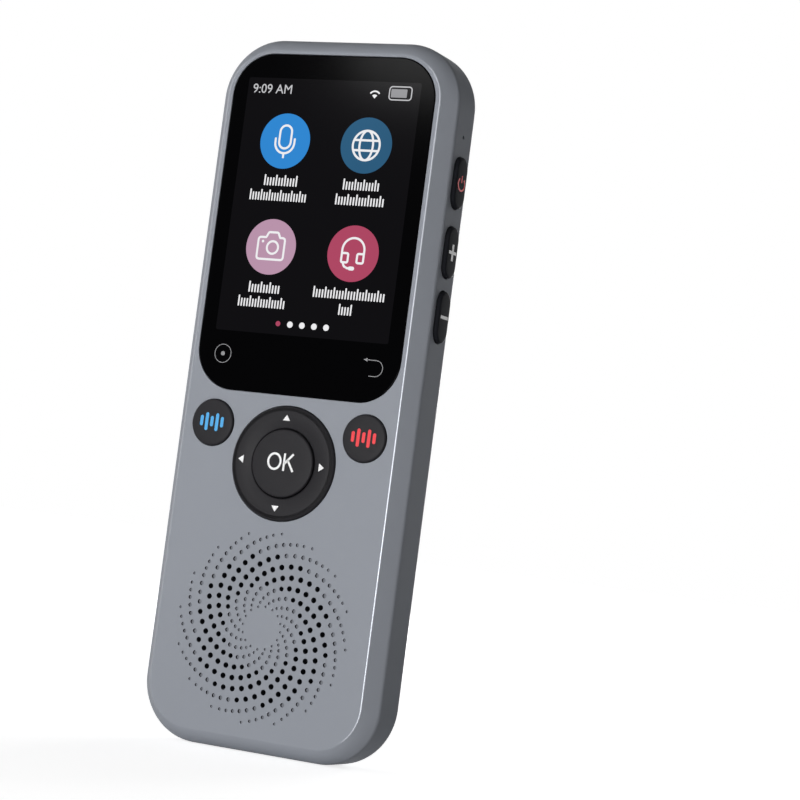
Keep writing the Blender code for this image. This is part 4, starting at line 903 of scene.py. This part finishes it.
def build_painted_highlight_group():
    """Mask of the painted highlights: |cos(a)|^12 of the angle to the bright axis + 0.12 |cos(b)|^20 to the
    faint one.
    """
    group, result = new_group("spun_painted_highlights", (), (("Mask", NUMBER),))
    way = vector_maths(group, "NORMALIZE", from_axis(group))
    masks = []
    for axis, power, strength in (BRIGHT_PAINTED_HIGHLIGHT, FAINT_PAINTED_HIGHLIGHT):
        along = maths(group, "ABSOLUTE", vector_maths(group, "DOT_PRODUCT", way, axis), 0.0)
        masks.append(maths(group, "MULTIPLY", maths(group, "POWER", along, power), strength))
    group.links.new(maths(group, "ADD", *masks), result.inputs["Mask"])
    return group


def build_lens_reflection_group():
    """Colour of the lens by distance from the axis: a pale painted glint in the middle, dark glass, a violet
    ring of painted reflection, a dark rim.
    """
    group, result = new_group("lens_painted_reflections", (), (("Color", COLOUR),))
    share = maths(group, "DIVIDE", vector_maths(group, "LENGTH", from_axis(group)), LENS_RADIUS)
    ramp = group.nodes.new("ShaderNodeValToRGB")
    while len(ramp.color_ramp.elements) < len(LENS_PAINTED_REFLECTIONS):
        ramp.color_ramp.elements.new(0.5)
    for element, (at, rgb) in zip(ramp.color_ramp.elements, LENS_PAINTED_REFLECTIONS):
        element.position = at
        element.color = linear(rgb)
    group.links.new(share, ramp.inputs["Fac"])
    group.links.new(ramp.outputs["Color"], result.inputs["Color"])
    return group


def spun_metal_painted_highlights():
    """Black metal with painted highlights: it turns pale where the wedges are."""
    material = finish("spun_black_painted_highlights", (6, 6, 7), 0.35, scale=5000, bump=0.05, shine=0.05)
    tree = material.node_tree
    mix = tree.nodes.new("ShaderNodeMix")
    mix.data_type = "RGBA"
    mix.inputs["B"].default_value = linear(PAINTED_HIGHLIGHT_GREY)
    tree.links.new(place_group(tree, build_painted_highlight_group()).outputs["Mask"], mix.inputs["Factor"])
    tree.links.new(tree.nodes["grain"].outputs["Color"], mix.inputs["A"])
    tree.links.new(mix.outputs["Result"], tree.nodes["Principled BSDF"].inputs["Base Color"])
    return material


def coated_lens_painted_reflections():
    """Glossy dark glass with painted reflections: a pale middle and violet rings."""
    material = finish("coated_lens_painted_reflections", (40, 26, 96), 0.05, scale=400, mottle=0.0, patch=0.4, spread=0.02,
                      bump=0.0, shine=0.2)
    tree = material.node_tree
    rings = place_group(tree, build_lens_reflection_group())
    tree.links.new(rings.outputs["Color"], tree.nodes["Principled BSDF"].inputs["Base Color"])
    return material


bezel_points = softened(
    np.array([(2.9, 13.3), (6.2, 13.3), (6.2, 14.95), (5.6, 14.95), (2.9, 14.15), (2.9, 13.4)]) * MM,
    np.array([0.0, 0.15, 0.2, 0.12]) * MM,
)
turned_piece("camera_bezel", bezel_points, CAMERA_PLACE, spun_metal_painted_highlights(), "bar", steps=160,
             replaced=("camera_ring",), slot="black_metal")
barrel_points = softened(
    np.array([(1.9, 12.4), (2.6, 12.4), (2.6, 13.95), (2.0, 13.95), (1.75, 13.7), (1.75, 12.5)]) * MM,
    np.array([0.0, 0.2, 0.1, 0.0]) * MM,
)
turned_piece("lens_barrel", barrel_points, CAMERA_PLACE, BARREL_BLACK, "bar", steps=96,
             replaced=("camera_barrel",), slot="key_black")
t = np.linspace(0.0, np.pi / 2, 14)
dome = np.stack([LENS_RADIUS * np.sin(t), (13.3 + 0.4 * np.cos(t)) * MM], axis=1)
lens_points = np.concatenate([dome, [(LENS_RADIUS, 12.4 * MM), (0.0, 12.4 * MM)]])
turned_piece("lens_dome", lens_points, CAMERA_PLACE, coated_lens_painted_reflections(), "bar", steps=96,
             replaced=("camera_lens",), slot="lens_glass")
print("camera made")

# %% [markdown]
# ## Marks as thin inlays
# The display's pictures and the printed marks are thin slabs. A stroke is a ribbon of a given width along a
# path; a blob is a closed outline. Both get a little thickness so that they are real, closed pieces. Their
# outlines are drawn in millimetres about the mark's own middle.


# %% Mark helpers
THIN = 0.02 * MM


def blobs(name, outlines, place, top, material, body, thick=THIN, side=0, unit=MM):
    """Raise flat outlines to thin slabs whose tops are at one depth or reach, joined to one piece.

    The outlines are in millimetres, unless the caller names another unit.
    """
    levels = np.array([[top], [top + thick if side == 0 else top - thick]])
    points, quads, caps, start = [], [], [], 0
    for outline in outlines:
        a, b = (np.asarray(outline, float) * unit).T[:, None, :]
        count = len(outline)
        points.append(laid(np.repeat(a, 2, axis=0), np.repeat(b, 2, axis=0), levels, place, side))
        quads.append(grid_faces(2, count) + start)
        caps += [cap + start for cap in end_caps(2, count)]
        start += 2 * count
    return make_piece(name, np.concatenate(points), np.concatenate(quads), caps, material, body)


def circle(radius, middle=(0.0, 0.0), start=0.0, end=360.0, steps=48, stretch=1.0):
    """Points on a circle or arc: middle + radius * (cos, sin), the first coordinate times a stretch."""
    whole = abs(end - start) >= 360.0
    angle = np.radians(np.linspace(start, end, steps, endpoint=not whole))
    a = middle[0] + radius * stretch * np.cos(angle)
    b = middle[1] + radius * np.sin(angle)
    return np.stack([a, b], axis=1)


def ribbon(path, width, closed=False):
    """The two edges of a stroke: the path moved half the width to each side along its normal."""
    ahead = np.roll(path, -1, axis=0) - path
    behind = path - np.roll(path, 1, axis=0)
    if not closed:
        ahead[-1] = behind[-1]
        behind[0] = ahead[0]
    ahead = ahead / np.linalg.norm(ahead, axis=1, keepdims=True)
    behind = behind / np.linalg.norm(behind, axis=1, keepdims=True)
    run = ahead + behind
    run = run / np.linalg.norm(run, axis=1, keepdims=True)
    normal = np.stack([-run[:, 1], run[:, 0]], axis=1)
    reach = width / 2 / np.clip(np.sum(run * ahead, axis=1, keepdims=True), 0.5, 1.0)
    return path + normal * reach, path - normal * reach


def stroke(name, path, width, place, top, material, body, closed=False, thick=THIN, side=0):
    """A raised line. A closed one is a grid of rows: one edge's top and foot, the other's foot and top."""
    left, right_side = ribbon(np.asarray(path, float) * MM, width * MM, closed)
    if not closed:
        outline = np.concatenate([left, right_side[::-1]])
        return blobs(name, [outline], place, top, material, body, thick, side, unit=1.0)
    bottom = top + thick if side == 0 else top - thick
    a, b = np.stack([left, left, right_side, right_side, left]).transpose(2, 0, 1)
    levels = np.array([[top], [bottom], [bottom], [top], [top]])
    points = laid(a, b, levels, place, side)
    return make_piece(name, points, grid_faces(*a.shape), [], material, body)


def rounded_path(points, rounds, steps=5):
    """A closed path through points whose corners are all rounded."""
    points = np.asarray(points, float)
    around = np.concatenate([points[-1:], points, points[:1]])
    return softened(around, rounds, steps)[1:-1]


def rounded_bar(width, height, corner=None, steps=6):
    """Outline of a bar with rounded ends."""
    corner = min(width, height) / 2 * 0.999 if corner is None else corner
    a, b = rounded_loop(width / 2, height / 2, corner, steps)
    return np.stack([a[0], b[0]], axis=1)


print("mark helpers ready")

# %% [markdown]
# ## The display's picture
# The lit area is a touch lighter than the printed border. On it are four round pictures, bars that stand for
# their captions, a row of page dots and a status line. They glow a little, so they use emission.

# %% Lit area and round pictures
TOP = -0.02 * MM
LAYER = 0.02 * MM
DRAW = TOP - LAYER
DISC_RADIUS = 5.33
TALK_AT = (-8.8, 115.2)
GLOBE_AT = (8.5, 115.1)
CAMERA_AT = (-8.8, 94.8)
HEADSET_AT = (8.7, 94.6)


def on_glass(place):
    """A place on the display, from millimetres."""
    return place[0] * MM, place[1] * MM


blobs("lit_area", [rounded_bar(36.7, 49.0, 0.4)], on_glass((0.0, 102.8)), TOP + LAYER / 2, LIT_AREA, "bar",
      thick=LAYER / 2)
for name, place, material in (("picture_talk", TALK_AT, MIC_BLUE), ("picture_globe", GLOBE_AT, GLOBE_TEAL),
                              ("picture_camera", CAMERA_AT, CAMERA_PINK),
                              ("picture_headset", HEADSET_AT, HEADSET_RED)):
    blobs(name, [circle(DISC_RADIUS, steps=96)], on_glass(place), TOP - LAYER / 2, material, "bar")
print("lit area and round pictures made")

# %% Line drawings on the pictures
LINE = 0.42
CAMERA_BODY = [(-2.85, -2.4), (2.85, -2.4), (2.85, 1.8), (1.75, 1.8), (1.25, 2.8), (-0.75, 2.8), (-1.25, 1.8),
               (-2.85, 1.8)]
CAMERA_ROUNDS = [0.6, 0.6, 0.6, 0.1, 0.25, 0.25, 0.1, 0.6]
EAR_CUP = rounded_bar(1.35, 1.75, 0.3)
BOOM = softened([(-1.9, -1.75), (-1.6, -2.5), (-0.9, -2.8), (-0.2, -2.8)], (0.4, 0.3), 4)


def draw(name, path, place, width=LINE, material=SCREEN_WHITE, closed=True):
    """A line on the display."""
    stroke(name, path, width, on_glass(place), DRAW, material, "bar", closed=closed)


def fill(name, outlines, place, material=SCREEN_WHITE):
    """Filled outlines on the display."""
    blobs(name, outlines, on_glass(place), DRAW, material, "bar")


draw("talk_capsule", rounded_bar(2.5, 4.45) + [0.0, 0.8], TALK_AT)
talk_cup = np.concatenate([[(-2.05, 0.6)], circle(2.05, (0, -0.3), 180, 360, 24), [(2.05, 0.6)]])
draw("talk_cup", talk_cup, TALK_AT, closed=False)
draw("talk_stem", [(0.0, -2.35), (0.0, -3.3)], TALK_AT, closed=False)
draw("globe_rim", circle(2.8, steps=64), GLOBE_AT)
draw("globe_meridian", circle(2.8, steps=64, stretch=0.5), GLOBE_AT)
for name, height in (("globe_north", 0.97), ("globe_south", -0.97)):
    draw(name, [(-2.6, height), (2.6, height)], GLOBE_AT, closed=False)
draw("camera_outline", rounded_path(CAMERA_BODY, CAMERA_ROUNDS), CAMERA_AT)
draw("camera_eye", circle(1.2, (0.35, -0.1), steps=40), CAMERA_AT)
fill("camera_dot", [circle(0.26, (-1.85, 1.0), steps=16)], CAMERA_AT)
headset_band = np.concatenate([[(-2.3, -0.1)], circle(2.3, (0, 0.65), 180, 0, 32), [(2.3, -0.1)]])
draw("headset_band", headset_band, HEADSET_AT, closed=False)
for name, across in (("headset_cup_left", -1.62), ("headset_cup_right", 1.62)):
    draw(name, EAR_CUP + [across, -0.85], HEADSET_AT)
draw("headset_boom", BOOM, HEADSET_AT, closed=False)
fill("headset_tip", [rounded_bar(1.3, 0.75) + [0.0, -2.8]], HEADSET_AT)
print("line drawings done")

# %% Caption lines and page dots
CAPTIONS = (
    (-8.6, 107.6, 7.4, 12), (-8.8, 104.7, 12.4, 21), (8.5, 107.6, 7.8, 13), (8.6, 104.7, 10.4, 17),
    (-9.1, 87.0, 6.9, 11), (-9.3, 84.2, 10.3, 17), (8.9, 87.0, 15.2, 25), (8.6, 84.0, 3.0, 5),
)
CAPTION_HEIGHT = 2.1
TALL_SHARES = (1.0, 0.74, 0.74, 0.74, 1.0, 0.74, 0.74, 1.0, 0.74, 0.74, 0.74)
PAGE_DOTS = 5
PAGE_PITCH = 2.56


def letter_marks(width, count):
    """Marks that stand where a caption's letters would be: `count` short bars, some of them taller."""
    pitch = width / count
    marks = []
    for number in range(count):
        tall = CAPTION_HEIGHT * TALL_SHARES[number % len(TALL_SHARES)]
        x = (number + 0.5) * pitch - width / 2
        marks.append(rounded_bar(pitch * 0.5, tall, 0.1, 3) + [x, (tall - CAPTION_HEIGHT) / 2])
    return marks


for number, (x, z, width, count) in enumerate(CAPTIONS, start=1):
    fill(f"caption_{number}", letter_marks(width, count), (x, z))
for number in range(PAGE_DOTS):
    radius, material = (0.6, SCREEN_WHITE) if number else (0.5, HEADSET_RED)
    place = (-5.1 + PAGE_PITCH * number, 80.35)
    fill(f"page_dot_{number + 1}", [circle(radius, steps=24)], place, material)
print("captions:", len(CAPTIONS), "page dots:", PAGE_DOTS)

# %% Status line and the signs under the lit area
BATTERY_AT = (14.2, 125.2)
WIFI_AT = (8.9, 124.3)
HOME_AT = (-16.05, 73.8)
BACK_AT = (15.9, 73.6)
draw("battery_outline", rounded_bar(4.6, 2.5, 0.6), BATTERY_AT, 0.22, SCREEN_TEXT)
fill("battery_charge", [rounded_bar(3.3, 1.6, 0.15) - [0.3, 0.0]], BATTERY_AT, SCREEN_GREY)
draw("wifi_outer", circle(1.25, (0, -0.1), 140, 40, 16), WIFI_AT, 0.3, closed=False)
fill("wifi_inner", [np.concatenate([[(0.0, -0.25)], circle(0.78, (0, -0.25), 48, 132, 12)])], WIFI_AT)
fill("home_dot", [circle(0.42, steps=20)], HOME_AT, GLASS_PRINT)
draw("home_ring", circle(1.75, steps=64), HOME_AT, 0.13, GLASS_PRINT)
back_path = np.concatenate([[(-1.4, 1.5)], circle(1.5, (0.5, 0.0), 90, -90, 24), [(-0.7, -1.5)]])
draw("back_line", back_path, BACK_AT, 0.14, GLASS_PRINT, closed=False)
fill("back_tip", [[(-2.1, 1.5), (-1.3, 1.85), (-1.3, 1.15)]], BACK_AT, GLASS_PRINT)
print("status line and signs done")

# %% [markdown]
# ## The clock in a typeface
# The clock's figures come from a text curve. It is made a mesh first and then scaled and placed point by
# point, so that its object stays at the origin.


# %% Typeface marks
def typeset(name, words, size, width, place, top, material, body):
    """Text as a thin slab: scaled so that it is `width` wide, centred on its place, its top at a depth."""
    curve = bpy.data.curves.new(name, "FONT")
    curve.body = words
    curve.size = size
    curve.extrude = THIN / 2
    curve.resolution_u = 6
    text = into_scene(name + "_curve", curve)
    graph = bpy.context.evaluated_depsgraph_get()
    mesh = bpy.data.meshes.new_from_object(text.evaluated_get(graph))
    bpy.data.objects.remove(text, do_unlink=True)
    points = np.zeros(len(mesh.vertices) * 3, np.float32)
    mesh.vertices.foreach_get("co", points)
    points = points.reshape(-1, 3)
    low, high = points.min(0), points.max(0)
    grow = width / (high[0] - low[0])
    x = place[0] + (points[:, 0] - (low[0] + high[0]) / 2) * grow
    z = place[1] + (points[:, 1] - (low[1] + high[1]) / 2) * grow
    y = FACE_Y + top + (high[2] - points[:, 2])
    mesh.vertices.foreach_set("co", np.stack([x, y, z], axis=1).astype(np.float32).ravel())
    mesh.update()
    mend(mesh)
    piece = into_scene(name, mesh)
    dress(piece, material, body)
    return piece


typeset("clock", "9:09 AM", 2.0 * MM, 8.4 * MM, on_glass((-13.0, 125.2)), DRAW, SCREEN_TEXT, "bar")
print("clock done")

# %% [markdown]
# ## Marks on the keys
# They are the same thin inlays, but each rides on its key. The arrows are one outline, turned by a quarter
# each time. The voice keys carry five bars, like a sound's levels, and the side keys a power sign, a plus and
# a minus.

# %% Marks on the face keys
OK_PLACE = (KEYS[0] - 0.15 * MM, KEYS[1] + 0.25 * MM)
OK_TOP = -0.78 * MM
ARROW = np.array([(0.0, 0.62), (-0.75, -0.46), (0.75, -0.46)])
ARROW_REACH = 8.48 * MM
ARROW_TOP = -0.75 * MM
BARS = ((-2.2, 2.0, 0.15), (-1.1, 3.4, 0.05), (0.0, 2.0, 0.15), (1.1, 3.4, 0.05), (2.2, 2.0, 0.15))
BAR_WIDTH = 0.66
for name, path, closed in (
    ("ok_o", circle(1.45, (-1.42, 0.0), steps=56, stretch=0.9), True),
    ("ok_k_stem", [(0.65, -1.65), (0.65, 1.65)], False),
    ("ok_k_arm", [(2.45, 1.65), (0.75, -0.25)], False),
    ("ok_k_leg", [(1.35, 0.42), (2.65, -1.65)], False),
):
    stroke(name, path, LINE, OK_PLACE, OK_TOP, WHITE_PRINT, "middle_key", closed=closed, thick=2 * THIN)
for turns, name in enumerate(("arrow_up", "arrow_left", "arrow_down", "arrow_right")):
    sine, cosine = math.sin(math.radians(90 * turns)), math.cos(math.radians(90 * turns))
    outline = ARROW @ np.array([(cosine, sine), (-sine, cosine)])
    place = (KEYS[0] - 0.2 * MM - ARROW_REACH * sine, KEYS[1] + ARROW_REACH * cosine)
    blobs(name, [outline], place, ARROW_TOP, WHITE_PRINT, "ring", thick=0.1 * MM)
for node, body, material in (("voice_key_left", "left_voice_key", BLUE_PRINT),
                             ("voice_key_right", "right_voice_key", RED_PRINT)):
    outlines = [rounded_bar(BAR_WIDTH, tall) + [x, lift] for x, tall, lift in BARS]
    blobs(node + "_bars", outlines, centre_of(node), -0.62 * MM, material, body)
print("face key marks done")

# %% Marks on the side keys
HEAD = 25.82 * MM
SIDE_LINE = 0.34
ACROSS = rounded_bar(3.2, 0.6, 0.05)
UPRIGHT = rounded_bar(0.8, 3.1, 0.05)
for name, path in (("power_arc", circle(1.2, (0.0, -0.15), 130, 410, 40, stretch=1.2)),
                   ("power_line", [(0.0, 0.1), (0.0, 1.45)])):
    stroke(name, path, SIDE_LINE, side_place("power_button"), HEAD, RED_PRINT, "power_key", side=1)
for name, outline, node, lift in (("plus_across", ACROSS, "volume_up_button", 0.0),
                                  ("plus_upright", UPRIGHT, "volume_up_button", 0.004 * MM),
                                  ("minus_mark", ACROSS, "volume_down_button", 0.0)):
    blobs(name, [outline], side_place(node), HEAD + lift, GLOSSY_WHITE, SIDE_BODIES[node], side=1)
print("side key marks done")

# %% [markdown]
# ## Floor, light and backdrop
# The studio is plain. A pale floor carries the shadow. One wide lamp in front gives the face its even tone
# and leaves the side wall darker; the sky fills in softly. Camera, mirror and see-through rays find a white
# backdrop, so the picture's ground stays white without more light on the piece.


# %% Floor and sky
FLOOR_LEVEL = -0.02 * MM
FLOOR_REACH = 6.0
WHITE = (1.0, 1.0, 1.0, 1.0)


def seen_directly(tree):
    """A mask that is 1 for rays that look at the backdrop: from the camera, a mirror or through glass."""
    rays = tree.nodes.new("ShaderNodeLightPath").outputs
    nearest = maths(tree, "MAXIMUM", rays["Is Camera Ray"], rays["Is Glossy Ray"])
    return maths(tree, "MAXIMUM", nearest, rays["Is Transmission Ray"])


def from_to(tree, value, **limits):
    """A Map Range node on a value, with the limits that differ from its own."""
    node = tree.nodes.new("ShaderNodeMapRange")
    for key, number in limits.items():
        node.inputs[key.replace("_", " ").title()].default_value = number
    tree.links.new(value, node.inputs["Value"])
    return node


corners = [(x * FLOOR_REACH, y * FLOOR_REACH, FLOOR_LEVEL) for x, y in ((-1, -1), (1, -1), (1, 1), (-1, 1))]
floor_mesh = bpy.data.meshes.new("floor")
floor_mesh.from_pydata(corners, [], [(0, 1, 2, 3)])
floor = into_scene("floor", floor_mesh)
floor_material = bpy.data.materials.new("pale_floor")
floor_material.use_nodes = True
tree = floor_material.node_tree
floor_shader = tree.nodes["Principled BSDF"]
for key, value in (("Base Color", (0.86, 0.86, 0.86, 1.0)), ("Roughness", 0.9), ("Specular IOR Level", 0.1),
                   ("Emission Color", WHITE)):
    floor_shader.inputs[key].default_value = value
far = vector_maths(tree, "LENGTH", tree.nodes.new("ShaderNodeTexCoord").outputs["Object"])
fade = from_to(tree, far, from_min=0.1, from_max=0.6, to_min=0.72, to_max=0.95)
fade.interpolation_type = "SMOOTHSTEP"
glow = maths(tree, "MULTIPLY", fade.outputs["Result"], seen_directly(tree))
tree.links.new(glow, floor_shader.inputs["Emission Strength"])
floor_mesh.materials.append(floor_material)

world = bpy.data.worlds.new("studio")
bpy.context.scene.world = world
world.use_nodes = True
tree = world.node_tree
sky = tree.nodes["Background"]
sky.inputs["Color"].default_value = WHITE
level = from_to(tree, seen_directly(tree), to_min=0.08, to_max=1.0)
tree.links.new(level.outputs["Result"], sky.inputs["Strength"])
print("floor and sky made")

# %% Lamps
LAMPS = {
    "front_lamp": ((0.01, -0.42, 0.035), (0.22, 0.05), 1.02),
    "sheen_lamp": ((-0.41, -0.9, 0.40), (0.1, 0.16), 1.2),
    "back_lamp": ((-0.02, 1.0, 0.12), (0.45, 0.5), 8.0),
    "left_lamp": ((-1.0, 0.0, 0.3), (0.5, 0.5), 1.2),
}
for name, (place, size, power) in LAMPS.items():
    data = bpy.data.lights.new(name, "AREA")
    data.shape = "RECTANGLE"
    data.size, data.size_y = size
    data.energy = power
    lamp = into_scene(name, data)
    lamp.location = place
    aim = Vector((0.0, 0.0, LENGTH / 2)) - Vector(place)
    lamp.rotation_euler = aim.to_track_quat("-Z", "Y").to_euler()
    lamp.visible_camera = False
print("studio lit with", len(LAMPS), "lamps")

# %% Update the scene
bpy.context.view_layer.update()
